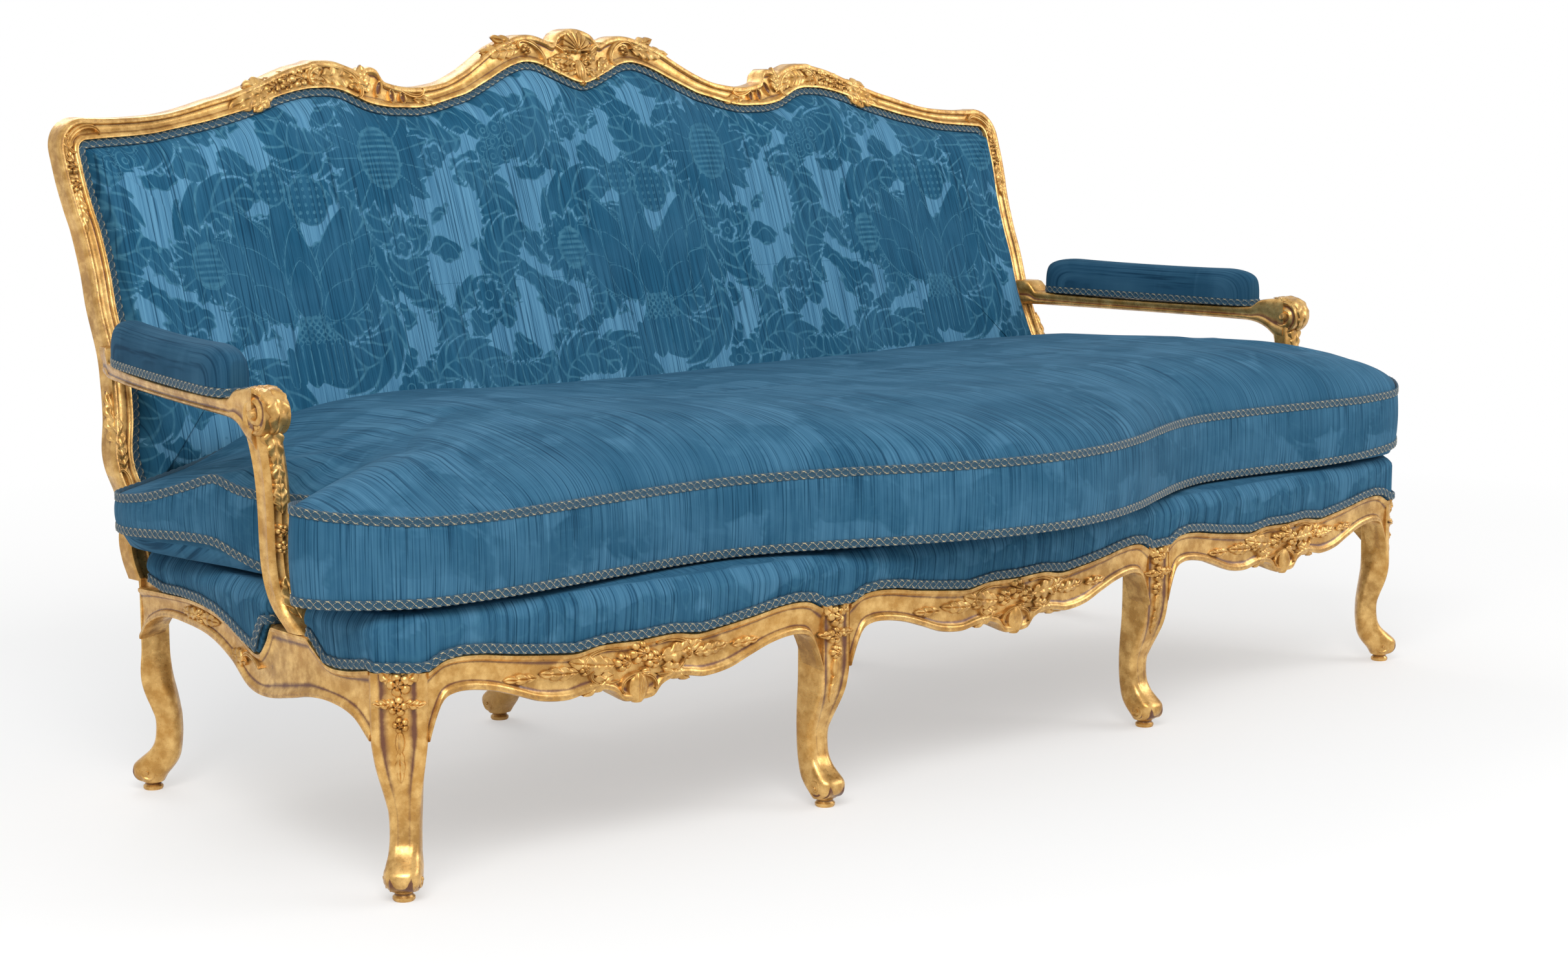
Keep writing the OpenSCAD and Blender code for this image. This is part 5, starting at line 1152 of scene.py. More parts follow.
def railCarving(i):
    x0 = bayCentres[i]
    parts = []

    def add(shape, dx, share, angle, both=False):
        for side in ((1, -1) if both else (1,)):
            x = x0 + dx * side
            low, top = float(frontLow(i, x)), float(frontTop(i, x))
            turn = angle if side > 0 else 180 - angle
            parts.append(carve(shape, onFrontRail, x, low + (top - low) * share, turn, side < 0))

    # gadrooned vase with a scrolled lip, a cluster of flowers over it and leaf garlands
    add(budShape(0.040, 0.034, 9, 0.0105), 0.0, 0.22, 90)
    add(scrollShape(0.085, 0.0080, 4.0, 4.0, 1.3), 0.0, 0.44, 180)
    add(flowerShape(0.0175, 6, 0.0115), 0.002, 0.80, 10)
    add(flowerShape(0.0140, 5, 0.0105), -0.024, 0.66, 40)
    add(flowerShape(0.0140, 5, 0.0105), 0.025, 0.62, 0)
    add(budShape(0.014, 0.012, 3, 0.010), 0.012, 0.46, 0)
    add(leafShape(0.072, 0.028, 4, 0.10), 0.036, 0.56, 4, both=True)
    add(leafShape(0.052, 0.022, 3, -0.15), 0.038, 0.36, -16, both=True)
    add(flowerShape(0.0095, 5), 0.082, 0.54, 0, both=True)
    add(leafShape(0.060, 0.019, 4, 0.05), 0.092, 0.54, 2, both=True)
    add(scrollShape(0.070, 0.0080, 4.4, 0.0, 1.0), 0.064, 0.86, 168, both=True)
    add(scrollShape(0.056, 0.0075, 0.0, 4.2, 1.0), 0.058, 0.14, 14, both=True)
    add(leafShape(0.050, 0.014, 3), 0.156, 0.50, 3, both=True)
    return parts


def sideCarving():
    y0 = sideFrontY + 0.70 * sideRun
    y1 = sideFrontY + 0.47 * sideRun

    def lineZ(y, share=0.5):
        return float(sideLow(y)) + (float(sideTop(y)) - float(sideLow(y))) * share

    return carveAll(onSideRail, [
        (leafShape(0.060, 0.018, 4), y0, lineZ(y0), 180), (leafShape(0.060, 0.018, 4), y0, lineZ(y0), 0),
        (flowerShape(0.0120, 6), y0, lineZ(y0), 0), (leafShape(0.050, 0.022, 4, 0.1), y1, lineZ(y1, 0.55), 0),
        (scrollShape(0.060, 0.0085, 4.4, 0.0, 1.1), y1 - 0.012, lineZ(y1, 0.72), 190)])


def kneeCarving(foot, swing, blockOut):
    c, s = math.cos(math.radians(swing)), math.sin(math.radians(swing))

    def onKnee(u, v, h):
        share = v / sofa["frameTop"]
        turn = curveAt(legTurnShares, share)
        out = sofa["kneeOut"] * curveAt(legOutShares, share) * (1 - turn) + blockOut * turn
        out = out - leg["kneeHollow"] * easeStep(0.40, 0.52, share) + 0.0006 + h
        return np.stack([foot[0] + out * c - u * s, foot[1] + out * s + u * c, v + 0 * u], -1)

    # three flowers over a bud, with two leaves on each side and one hanging below
    return carveAll(onKnee, [
        (flowerShape(0.0165, 5, 0.0090), 0, 0.268, 0), (flowerShape(0.0135, 5, 0.0080), 0.002, 0.241, 30),
        (flowerShape(0.0110, 5, 0.0072), -0.001, 0.218, 0), (budShape(0.026, 0.013, 3, 0.0062), 0, 0.197, 90),
        (leafShape(0.042, 0.013, 3, 0, 0.0048), 0, 0.188, -90),
        (leafShape(0.030, 0.019, 3, 0.3), 0.006, 0.270, 35),
        (leafShape(0.030, 0.019, 3, -0.3), -0.006, 0.270, 145),
        (leafShape(0.026, 0.013, 3, 0.3), 0.006, 0.246, -20),
        (leafShape(0.026, 0.013, 3, -0.3), -0.006, 0.246, 200)])


def armCarving():
    r, x0, y0, z0 = scrollRadius, armFrontX, sofa["armSetback"], scrollZ

    def onScroll(u, v, h):
        # v runs forward over the top of the scroll, then down its front; behind zero it lies on the rail
        angle = math.pi / 2 + v / r
        rounded = np.stack([x0 + u, y0 + (r + h) * np.cos(angle), z0 + (r + h) * np.sin(angle)], -1)
        backY = y0 - v
        rise = curveAt(armRiseShares, (armBackY - backY) / (armBackY - y0))
        top = sofa["armLow"] + armLift(backY) + sofa["armThick"] * (1 + rise)
        topZ = np.minimum(np.maximum(top, z0 + r * 0.96), z0 + r + 0.002)
        behind = np.stack([armX(backY) + u, backY, topZ + h], -1)
        return np.where((v > 0)[..., None], rounded, behind)

    def onPostFront(u, v, h):
        share = (v - sofa["frameTop"]) / postTall
        x = postFootX + (x0 - postFootX) * share
        half = sofa["postWidth"] / 2 * curveAt(postDepthShares, share)
        y = postFootY + arm["sweep"] * curveAt(postPathShares, share) - half
        return np.stack([x + u, y + 0.0012 - h, v + 0 * u], -1)

    # a leaf with a slim one on each side rolls over the end of the arm, and leaves and flowers run down
    # the post
    overEnd = carveAll(onScroll, [
        (leafShape(0.112, 0.036, 7, 0, 0.0060), 0, -0.034, 90),
        (leafShape(0.060, 0.015, 4, 0.12, 0.0040), 0.0115, -0.024, 88),
        (leafShape(0.060, 0.015, 4, -0.12, 0.0040), -0.0115, -0.024, 92)])
    downPost = carveAll(onPostFront, [
        (leafShape(0.090, 0.032, 6, 0, 0.0065), 0, 0.598, -90),
        (leafShape(0.044, 0.022, 4, 0, 0.006), 0, 0.452, 90),
        (flowerShape(0.0095, 5, 0.0065), 0, 0.430, 0), (flowerShape(0.0095, 5, 0.0065), 0, 0.409, 30),
        (leafShape(0.050, 0.026, 4, 0, 0.006), 0, 0.322, 90),
        (leafShape(0.036, 0.018, 3, 0, 0.005), 0, 0.520, -90)])
    return overEnd, downPost


def makeTimbers():
    makePiece("carvedCrest", makeCrest() + crestCarving(), gilt, replaced=["crest_rail"])
    corner, middle, rearMiddle, rearCorner = makeLegs()
    overEnd, downPost = armCarving()
    faceOut = -float(frontFace(halfMid)) - sofa["midForward"]
    corner += kneeCarving((halfFront, 0), -45, 0.0078)
    middle += kneeCarving((halfMid, -sofa["midForward"]), -90, faceOut)
    # name of the piece, its node, its parts on the right side, and its finish
    pairs = [
        ("frontLeg", "leg_front_", corner, gilt), ("middleLeg", "leg_front_mid_", middle, gilt),
        ("rearMiddleLeg", "leg_rear_mid_", rearMiddle, giltSides),
        ("backStile", "back_stile_", rearCorner + stileCarving(), gilt),
        ("sideRail", "side_rail_", [makeSideRail()] + sideCarving(), gilt),
        ("armRail", "arm_", makeArm() + overEnd, gilt),
        ("armPost", "arm_post_", makePost() + downPost, gilt)]
    for side in ("Right", "Left"):
        for name, node, parts, finish in pairs:
            sided = parts if side == "Right" else [mirrored(p) for p in parts]
            makePiece(name + side, sided, finish, replaced=[node + side.lower()])
    for i, end in enumerate(("left", "centre", "right")):
        parts = [makeFrontRail(i)] + railCarving(i)
        makePiece("frontRail" + end.capitalize(), parts, gilt, replaced=["front_rail_" + end])
    print("timbers of the frame are built")


makeTimbers()

# Damask drawn as signed distances on the weave, in metres: below zero is inside a figure
damask = {"across": 0.67, "up": 0.60, "serration": 0.38, "margin": 0.0035}
# arc of a leaf's midrib: centre, radius, start and end angle in degrees, half width
curledLeaves = [
    (-0.085, 0.015, 0.082, 70, 262, 0.046), (-0.055, 0.100, 0.066, 200, 30, 0.032),
    (0.010, 0.040, 0.135, -62, 48, 0.044), (0.075, -0.085, 0.080, 205, 20, 0.036),
    (-0.055, -0.115, 0.062, -20, 175, 0.034), (0.060, -0.175, 0.085, 60, 190, 0.038),
    (-0.130, -0.215, 0.075, -60, 95, 0.038), (0.190, -0.120, 0.070, -120, 60, 0.036),
    (0.255, -0.020, 0.062, 95, 265, 0.036), (0.325, 0.080, 0.066, -75, 95, 0.036),
    (0.420, -0.030, 0.060, 80, 240, 0.036), (0.255, -0.225, 0.070, -10, 150, 0.037),
    (0.450, 0.115, 0.078, 10, 170, 0.040), (0.075, 0.235, 0.070, 190, 330, 0.038),
    (0.330, 0.240, 0.066, 130, 290, 0.037), (0.455, 0.245, 0.060, -140, 30, 0.034),
    (-0.030, 0.215, 0.055, 40, 210, 0.034), (0.385, -0.150, 0.062, -160, -10, 0.034),
    (0.500, -0.225, 0.055, 20, 190, 0.034), (0.410, -0.255, 0.052, 160, 330, 0.033),
    (0.520, -0.060, 0.050, -60, 120, 0.032), (0.130, -0.270, 0.055, 180, 350, 0.033),
    (0.310, -0.100, 0.045, -20, 170, 0.028), (0.215, 0.075, 0.050, 150, 320, 0.030)]
# petals of the lotus, back to front: foot x and y, length, half width, angle from upright in degrees
lotusPetals = [
    (-0.030, -0.070, 0.150, 0.028, 42), (0.035, -0.070, 0.150, 0.028, -42),
    (-0.020, -0.075, 0.175, 0.030, 24), (0.028, -0.075, 0.175, 0.030, -24), (0.0, -0.075, 0.195, 0.030, 5),
    (-0.040, -0.078, 0.110, 0.026, 52), (0.046, -0.078, 0.110, 0.026, -52),
    (-0.022, -0.080, 0.125, 0.027, 30), (0.028, -0.080, 0.125, 0.027, -30), (0.003, -0.082, 0.140, 0.029, 0),
    (-0.028, -0.085, 0.078, 0.022, 44), (0.034, -0.085, 0.078, 0.022, -44), (0.003, -0.086, 0.092, 0.026, 0)]
# fruits and grapes: centre and radius
fruits = [(-0.022, 0.118, 0.024), (0.040, 0.096, 0.033)]
# heads: centre, half width and half height of the core, reach and number of the petals
heads = [(0.185, 0.160, 0.036, 0.046, 0.100, 13), (0.520, 0.005, 0.026, 0.032, 0.062, 11)]
# small flowers: centre, radius and number of petals
smallFlowers = [
    (0.335, -0.065, 0.026, 6), (0.290, 0.160, 0.020, 5), (0.190, 0.020, 0.018, 5), (-0.105, 0.205, 0.022, 6),
    (0.155, -0.200, 0.024, 6), (0.480, -0.110, 0.022, 5), (0.560, 0.200, 0.020, 5),
    (-0.010, -0.270, 0.024, 6)]
grapes = [
    (0.385, 0.170, 0.013), (0.408, 0.182, 0.013), (0.402, 0.158, 0.013), (0.425, 0.163, 0.013),
    (0.395, 0.200, 0.012), (0.418, 0.204, 0.012), (0.440, 0.186, 0.012)]


def damaskAt(u, v):
    wide, tall = damask["across"], damask["up"]
    figure = np.full(u.shape, 0.030)
    line = np.full(u.shape, 0.030)

    def near(cx, cy):
        return (u - cx + wide / 2) % wide - wide / 2, (v - cy + tall / 2) % tall - tall / 2

    def paint(shape, inner, gap=0.0):
        nonlocal figure, line
        if gap:
            figure = np.maximum(figure, gap - shape)
        line = np.where(shape < damask["margin"], inner, line)
        figure = np.minimum(figure, shape)

    def both(a, b):
        return a * b / (np.abs(a) + np.abs(b) + 1e-6)

    for cx, cy, radius, start, end, half in curledLeaves:
        x, y = near(cx, cy)
        turn = end - start if end > start else end - start + 360
        t = ((np.degrees(np.arctan2(y, x)) - start) % 360) / turn
        k = np.clip(t, 0, 1)
        r = np.hypot(x, y) - radius * (1.10 - 0.28 * k)
        saw = np.abs(((k * 7.5 + np.abs(r) * 28) % 1) - 0.15) - 0.35
        width = half * np.sin(math.pi * k ** 0.7) ** 0.6 * (1 - damask["serration"] * saw)
        away = np.where(t > 1, np.minimum(t - 1, 1) * 0.4, 0) * radius
        shape = np.abs(r) - width
        sideVeins = np.sin((k * 7.5 + np.abs(r) * 28) * math.pi) * 0.004
        paint(shape + away, both(shape, both(r, sideVeins)), 0.0030)
    a, b = u * 2 * math.pi / wide, v * 2 * math.pi / tall
    waves = np.sin(3 * a + 1.8 * np.sin(2 * b) + 0.8 * np.sin(5 * b + 2 * a))
    field = waves * np.sin(4 * b + 1.6 * np.sin(3 * a + 1))
    tufts = (0.18 - field) * 0.012 + 0.0016 * np.sin(21 * a + 9 * b) * np.sin(26 * b)
    paint(np.maximum(tufts, 0.0045 - figure), 0.004 * np.sin(12 * b + 7 * a + 2 * np.sin(9 * a)))
    for cx, cy, halfWide, halfTall, reach, petals in heads:
        x, y = near(cx, cy)
        angle, r = np.arctan2(y, x), np.hypot(x, y)
        fold = np.abs(((angle * petals / (2 * math.pi)) % 1) - 0.5) * 2
        tooth = 0.10 * np.sin(angle * petals * 4)
        rim = reach * (0.70 + 0.30 * (1 - fold ** 1.5) + tooth * 0.3)
        paint((r - rim) * 0.8, both((r - rim) * 0.8, (fold - 0.03) * r * 0.25), 0.0035)
        core = (np.hypot(x / halfWide, y / halfTall) - 1) * halfWide
        ribs = np.sin(y * 2 * math.pi / 0.018 + x * x * 500) * 0.0016
        paint(core, both(core, ribs))
    for foot, low, length, half, tilt in lotusPetals:
        x, y = near(foot, low)
        c, s = math.cos(math.radians(tilt)), math.sin(math.radians(tilt))
        x, y = x * c + y * s, y * c - x * s
        k = np.clip(y / length, 0, 1)
        width = half * np.sin(math.pi * k ** 0.85) ** 0.7
        shape = np.maximum(np.abs(x) - width, np.maximum(-y, y - length)) * 0.9
        paint(shape, shape)
    x, y = near(0.004, -0.108)
    basket = np.maximum(np.abs(x) - 0.042 + 0.5 * np.abs(y + 0.02), np.abs(y) - 0.026)
    lattice = np.sin((x + y) * math.pi / 0.011) * np.sin((x - y) * math.pi / 0.011) * 0.003
    paint(basket, both(basket, lattice))
    threads = np.sin(x * math.pi / 0.014)
    fringe = np.maximum(np.abs(x) - 0.055, np.abs(y + 0.045) - 0.020 - 0.010 * np.abs(threads))
    paint(fringe, threads * 0.004)
    for cx, cy, radius in fruits:
        x, y = near(cx, cy)
        shape = np.hypot(x, y * 0.86) - radius
        dots = 0.0022 - np.hypot((x % 0.012) - 0.006, (y % 0.012) - 0.006)
        paint(shape, both(shape, dots))
    for cx, cy, radius in grapes:
        x, y = near(cx, cy)
        shape = np.hypot(x, y) - radius
        paint(shape, both(shape, np.hypot(x, y) - radius * 0.35))
    for cx, cy, radius, petals in smallFlowers:
        x, y = near(cx, cy)
        angle, r = np.arctan2(y, x), np.hypot(x, y)
        rim = radius * (0.66 + 0.34 * np.abs(np.cos(angle * petals / 2)))
        shape = (r - rim) * 0.8
        paint(shape, both(shape, r - radius * 0.3), 0.003)
    return figure, line


def withDamask(part, u, v):
    figure, line = damaskAt(u.ravel(), v.ravel())
    part["figure"], part["vein"] = figure, line
    part["weave"] = np.stack([u.ravel(), v.ravel(), 0 * u.ravel()], 1)
    return part


# Points of a padded piece, ring by ring, with the weave coordinates of each
class PaddedRings:
    def __init__(self):
        self.rings, self.u, self.v = [], [], []

    def take(self, ring, across, up):
        self.rings.append(ring)
        self.u.append(across + 0 * ring[:, 0])
        self.v.append(up + 0 * ring[:, 0])

    def surface(self):
        return ringSurface(np.array(self.rings)), np.array(self.u), np.array(self.v)


# Loose seat cushion: plan, seams and crown as in the CAD source
cushion = {
    "halfWide": 1.1372, "border": 0.112, "crown": 0.080, "lean": 0.016, "swell": 0.0042, "columns": 760,
    "borderRings": 18, "topRings": 46, "gather": 0.0011, "pucker": 0.021, "fade": 0.22, "wave": 0.0016,
}
# plan of the right half, from rear to front: x and y as shares, then low and high seam
cushionPlanShares = [
    [0, 0.998, 0.065, 1.3], [0.27, 0.998, 0.065, 1.3], [0.52, 0.998, 0.065, 1.3], [0.68, 0.997, 0.08, 1.1],
    [0.78, 0.994, 0.11, 0.8], [0.86, 0.985, 0.18, 0.63], [0.9, 0.95, 0.23, 0.6], [0.915, 0.88, 0.23, 0.62],
    [0.916, 0.77, 0.27, 0.72], [0.91, 0.66, 0.31, 0.9], [0.905, 0.575, 0.3, 1.04], [0.902, 0.51, 0.2, 0.96],
    [0.896, 0.44, 0.1, 0.92], [0.877, 0.398, 0.065, 0.9], [0.868, 0.36, 0.065, 0.9],
    [0.866, 0.31, 0.065, 0.9], [0.876, 0.275, 0.065, 0.92], [0.913, 0.247, 0.065, 0.96],
    [0.949, 0.195, 0.065, 1.02], [0.976, 0.135, 0.065, 1.05], [0.965, 0.066, 0.065, 1.02],
    [0.924, 0, 0.065, 0.97], [0.88, -0.04, 0.065, 0.94], [0.79, -0.052, 0.065, 0.92],
    [0.7, -0.042, 0.065, 0.92], [0.61, -0.028, 0.065, 0.92], [0.52, -0.018, 0.065, 0.92],
    [0.44, -0.02, 0.065, 0.92], [0.36, -0.055, 0.065, 0.93], [0.28, -0.11, 0.065, 0.94],
    [0.19, -0.175, 0.065, 0.94], [0.095, -0.222, 0.065, 0.94], [0, -0.24, 0.065, 0.94]]
# inner line: x and y as shares, heights on the right and on the left
cushionInnerShares = [
    [0, 0.47, 0.8, 0.8], [0.27, 0.47, 0.82, 0.78], [0.52, 0.47, 0.92, 1], [0.66, 0.47, 0.96, 1.05],
    [0.72, 0.465, 0.96, 0.92], [0.76, 0.45, 0.96, 0.8], [0.78, 0.44, 0.96, 0.72], [0.79, 0.43, 0.95, 0.64],
    [0.794, 0.42, 0.95, 0.6], [0.797, 0.41, 0.95, 0.58], [0.799, 0.4, 0.95, 0.56], [0.8, 0.39, 0.95, 0.56],
    [0.801, 0.375, 0.95, 0.56], [0.801, 0.36, 0.95, 0.56], [0.8, 0.34, 0.95, 0.56], [0.8, 0.31, 0.95, 0.56],
    [0.805, 0.27, 0.94, 0.58], [0.82, 0.23, 0.9, 0.6], [0.835, 0.19, 0.84, 0.62], [0.845, 0.15, 0.76, 0.62],
    [0.84, 0.12, 0.7, 0.62], [0.825, 0.125, 0.72, 0.66], [0.8, 0.15, 0.76, 0.7], [0.76, 0.2, 0.84, 0.8],
    [0.7, 0.27, 0.93, 0.9], [0.61, 0.33, 0.95, 0.97], [0.52, 0.37, 0.93, 0.95], [0.44, 0.385, 0.9, 0.93],
    [0.36, 0.395, 0.89, 0.9], [0.28, 0.405, 0.88, 0.88], [0.19, 0.41, 0.84, 0.84],
    [0.095, 0.415, 0.82, 0.82], [0, 0.415, 0.8, 0.8]]
# middle line of the crown: x and y as shares, heights on the right and on the left
crownLineShares = [
    [0, 0.44, 0.8, 0.8], [0.27, 0.44, 0.82, 0.78], [0.52, 0.43, 0.92, 1.0], [0.62, 0.41, 0.96, 1.02],
    [0.70, 0.37, 0.95, 0.84], [0.75, 0.31, 0.95, 0.68], [0.775, 0.26, 0.94, 0.61], [0.80, 0.205, 0.87, 0.63],
    [0.825, 0.16, 0.76, 0.63], [0.83, 0.15, 0.74, 0.62]]
crownRows = [
    0, 0.27, 0.52, 0.61, 0.64, 0.67, 0.69, 0.70, 0.71, 0.72, 0.725, 0.735, 0.743, 0.75, 0.757, 0.765, 0.775,
    0.792, 0.81, 0.825, 0.83, 0.825, 0.80, 0.765, 0.70, 0.61, 0.52, 0.44, 0.36, 0.28, 0.19, 0.095, 0]
rightLiftShares = [[0.74, 0], [0.85, 0.06], [0.93, 0.13], [1, 0.15]]
straightLeftShares = [[0.5, 0], [0.62, 0.3], [0.72, 0.6], [0.8, 1], [1, 1]]
straightRightShares = [[0.7, 0], [0.9, 0.4], [0.97, 0.8], [1, 0.8]]
deckZ = sofa["frameTop"] + sofa["webThick"] + sofa["hessianThick"] + sofa["clearance"]
deckTopZ = deckZ + sofa["deckHeight"]
cushionZ = deckTopZ + sofa["clearance"]
topSeamZ = cushionZ + cushion["border"]


def lookUp(pairs, x):
    t = np.asarray(pairs, float)
    return np.interp(x, t[:, 0], t[:, 1])


def cushionLoop():
    half, depth = cushion["halfWide"], sofa["seatDepth"]
    border, crown = cushion["border"], cushion["crown"]
    rows = []
    line = np.array(crownLineShares)

    def lineAt(cx, column):
        return np.interp(cx, line[:, 0], line[:, column])

    tables = zip(cushionPlanShares, cushionInnerShares, crownRows)
    for (x, y, low, high), (ix, iy, rightZ, leftZ), cx in tables:
        lift = float(lookUp(rightLiftShares, x)) if y < 0.24 else 0.0
        rows.append([x * half, y * depth, cushionZ + (low + lift) * border, cushionZ + high * border,
                     ix * half, iy * depth, topSeamZ + rightZ * crown, cushionZ + low * border,
                     topSeamZ + leftZ * crown, cx * half, lineAt(cx, 1) * depth,
                     topSeamZ + lineAt(cx, 2) * crown, topSeamZ + lineAt(cx, 3) * crown])
    # columns 0 to 3 are the seams, 4 to 6 the inner line, 7 and 8 the left side's own low seam and height,
    # and 9 to 12 the crown's middle line with its height on the right and on the left
    rightCount = len(rows)
    rows = withLeftHalf(rows, [0, 4, 9])
    # on the left the seam and the crown have heights of their own
    rows[rightCount:, [2, 6, 11]] = rows[rightCount:, [7, 8, 12]]
    loop, along = resampleLoop(rows, cushion["columns"], 0.85)
    # the crown's middle line is read again for each column, so that its two sides meet
    cx = np.minimum(np.abs(loop[:, 9]) / half, line[-1, 0])
    blend = easeStep(-0.02, 0.02, loop[:, 0] / half)
    loop[:, 9] = np.sign(loop[:, 9]) * cx * half
    loop[:, 10] = lineAt(cx, 1) * depth
    loop[:, 11] = topSeamZ + (lineAt(cx, 3) * (1 - blend) + lineAt(cx, 2) * blend) * crown
    return loop, along


def borderRing(loop, out, offset, share, lift=0.0):
    # along the rear the border leans back where its top seam rises
    border = cushion["border"]
    risen = np.maximum(np.minimum(loop[:, 3], cushionZ + 1.3 * border) - topSeamZ, 0)
    atRear = loop[:, 1] > 0.98 * sofa["seatDepth"]
    back = np.where(atRear, cushion["lean"] * risen / (0.3 * border) * share, 0)
    z = loop[:, 2] + (loop[:, 3] - loop[:, 2]) * share + lift
    return np.stack([loop[:, 0] + out[:, 0] * offset, loop[:, 1] + out[:, 1] * offset + back, z], 1)


def makeCushion():
    loop, along = cushionLoop()
    out = -outwardOf(loop[:, :2])
    middle = np.array([0.0, 0.3])
    if np.mean(np.sum(out * (loop[:, :2] - middle), 1)) < 0:
        out = -out
    padding = PaddedRings()
    edge = borderRing(loop, out, 0, 0)
    for inward in (0.97, 0.8, 0.5, 0.25, 0.12, 0.05, 0.02):
        ring = edge.copy()
        ring[:, :2] += (loop[:, 4:6] - ring[:, :2]) * inward
        rise = min(inward / 0.05, 1) * 0.85 + 0.15 * min(inward / 0.12, 1)
        ring[:, 2] += (cushionZ - ring[:, 2]) * rise
        padding.take(ring, ring[:, 0], ring[:, 1])
    # border, pulled in at both seams, with slight gathers that fade from each seam
    puckers = np.sin(along * 2 * math.pi / cushion["pucker"] + 3 * np.sin(along * 9))
    puckers *= 0.6 + 0.4 * np.sin(along * 23)
    for share in np.linspace(0, 1, cushion["borderRings"]):
        swell = cushion["swell"] * math.sin(math.pi * share) ** 0.6
        gather = cushion["gather"] * puckers * math.exp(-min(share, 1 - share) / cushion["fade"])
        bulge = swell + gather * math.sin(math.pi * min(max(share, 0.03), 0.97)) ** 0.3
        padding.take(borderRing(loop, out, bulge, share), along, cushionZ + share * cushion["border"])
    edge = borderRing(loop, out, 0, 1)
    fromMiddle = np.abs(loop[:, 0]) / cushion["halfWide"]
    rightStraight = lookUp(straightRightShares, fromMiddle)
    straight = np.where(loop[:, 0] > 0, rightStraight, lookUp(straightLeftShares, fromMiddle))
    riseShares = [[0, 0], [0.04, 0.3], [0.12, 0.56], [0.26, 0.78], [0.5, 0.95], [0.9, 1], [1, 1]]
    for k in np.linspace(0, 1, cushion["topRings"] + 1)[1:]:
        inward = min(k ** 1.3 / 0.86, 1)
        rise = float(curveAt(riseShares, inward))
        close = float(easeStep(0.72, 1.0, k)) * 0.9985
        ring = edge.copy()
        ring[:, :2] += (loop[:, 4:6] - ring[:, :2]) * inward
        ring[:, 2] += (loop[:, 6] - ring[:, 2]) * (rise + (inward ** 0.85 - rise) * straight)
        ring[:, :2] += (loop[:, 9:11] - ring[:, :2]) * close
        ring[:, 2] += (loop[:, 11] - ring[:, 2]) * close
        soft = cushion["wave"] * np.sin(ring[:, 0] * 13 + 2 * np.sin(ring[:, 1] * 9))
        soft *= np.sin(ring[:, 1] * 11 + 1)
        ring[:, 2] += soft * math.sin(math.pi * min(inward, 1)) ** 0.5
        padding.take(ring, ring[:, 0], ring[:, 1])
    part, u, v = padding.surface()
    piece = makePiece("seatCushion", [withDamask(part, u, v)], velvetFaint, body="cushion",
                      replaced=["seat_cushion"], sharp=0)
    return loop, out


cushionPlan, cushionOut = makeCushion()
print("seat cushion is built")

# Fixed stuffed seat between the rails and the cushion
deck = {
    "swell": 0.006, "columns": 1000, "skirt": 0.0085, "lipGap": 0.0005, "stileGap": 0.001, "rearGap": 0.003,
}
notchShares = [[0.205, 0], [0.212, 1], [0.348, 1], [0.355, 0]]
sideLipShares = [[0, 0], [0.14, 0], [0.19, 1], [0.37, 1], [0.41, 0], [0.87, 0], [0.94, 1]]
sideStationShares = [
    0, 0.04, 0.09, 0.14, 0.19, 0.205, 0.212, 0.28, 0.348, 0.355, 0.37, 0.39, 0.41, 0.47, 0.54, 0.61, 0.69,
    0.78, 0.87, 0.94, 1]
deckInnerShares = [[0.93, 0.88], [0.62, 0.3]]


def bayStations(i, steps=16):
    k = 2 * np.arange(steps + 1) / steps - 1
    return bayCentres[i] + bayReach[i] * (k + (np.sin(np.radians(90 * k)) - k) * 0.55)


def deckPlan():
    rearY = rearOuterY - deck["rearGap"]
    innerX = float(stileIn(sofa["frameTop"])) - deck["stileGap"] - deck["rearGap"]
    rows = [[share * innerX, rearY, 0, -1, deckZ, 0, 0] for share in (0, 0.18, 0.36, 0.54, 0.72, 0.88, 1)]
    rows.append([innerX, rearFaceY - deck["lipGap"] - deck["swell"], -1, 0, deckZ, 0, 0])
    rearCount = len(rows)
    for share in sideStationShares[-2::-1]:
        y = sideFrontY + share * sideRun
        top = min(float(sideTop(y)), sofa["frameTop"] - sofa["clearance"])
        lip = top + (sofa["frameTop"] - top) * float(lookUp(sideLipShares, share))
        notched = float(lookUp(notchShares, share))
        rows.append([float(sideFace(y)), y, -1, 0, lip + deck["lipGap"], notched, 1])
    bx, by, c = halfFront + blockReach, frontFaceY, sofa["blockCut"]
    lip = leg["crestShare"] * sofa["frameTop"] + deck["lipGap"]
    rows += [[bx, by + c, -0.9, 0.45, lip, 0, 0.4], [bx - c / 2, by + c / 2, -0.707, 0.707, lip, 0, 0],
             [bx - c, by, -0.45, 0.9, lip, 0, 0]]
    endX = halfFront - blockReach
    for i, stations in ((2, bayStations(2)[::-1]), (1, bayStations(1)[:7:-1])):
        for x in stations:
            lip = float(frontTop(i, x)) + deck["lipGap"]
            rows.append([x, float(frontFace(x)), 0, 1, lip, 0, 1 - (x / endX) ** 6])
    return withLeftHalf(rows, [0, 2]), rearCount


deckRows, deckRearCount = deckPlan()
notchDepth = sofa["postWidth"] - deck["rearGap"] + deck["swell"] + deck["lipGap"]


def deckRing(rows, inset, share, above=0.0):
    inward = np.where(inset < 0, inset * rows[:, 6], inset) + rows[:, 5] * notchDepth
    low = np.minimum(rows[:, 4], deckZ)
    z = low + (deckZ - low) * share + above
    return np.stack([rows[:, 0] + inward * rows[:, 2], rows[:, 1] + inward * rows[:, 3], z], 1)


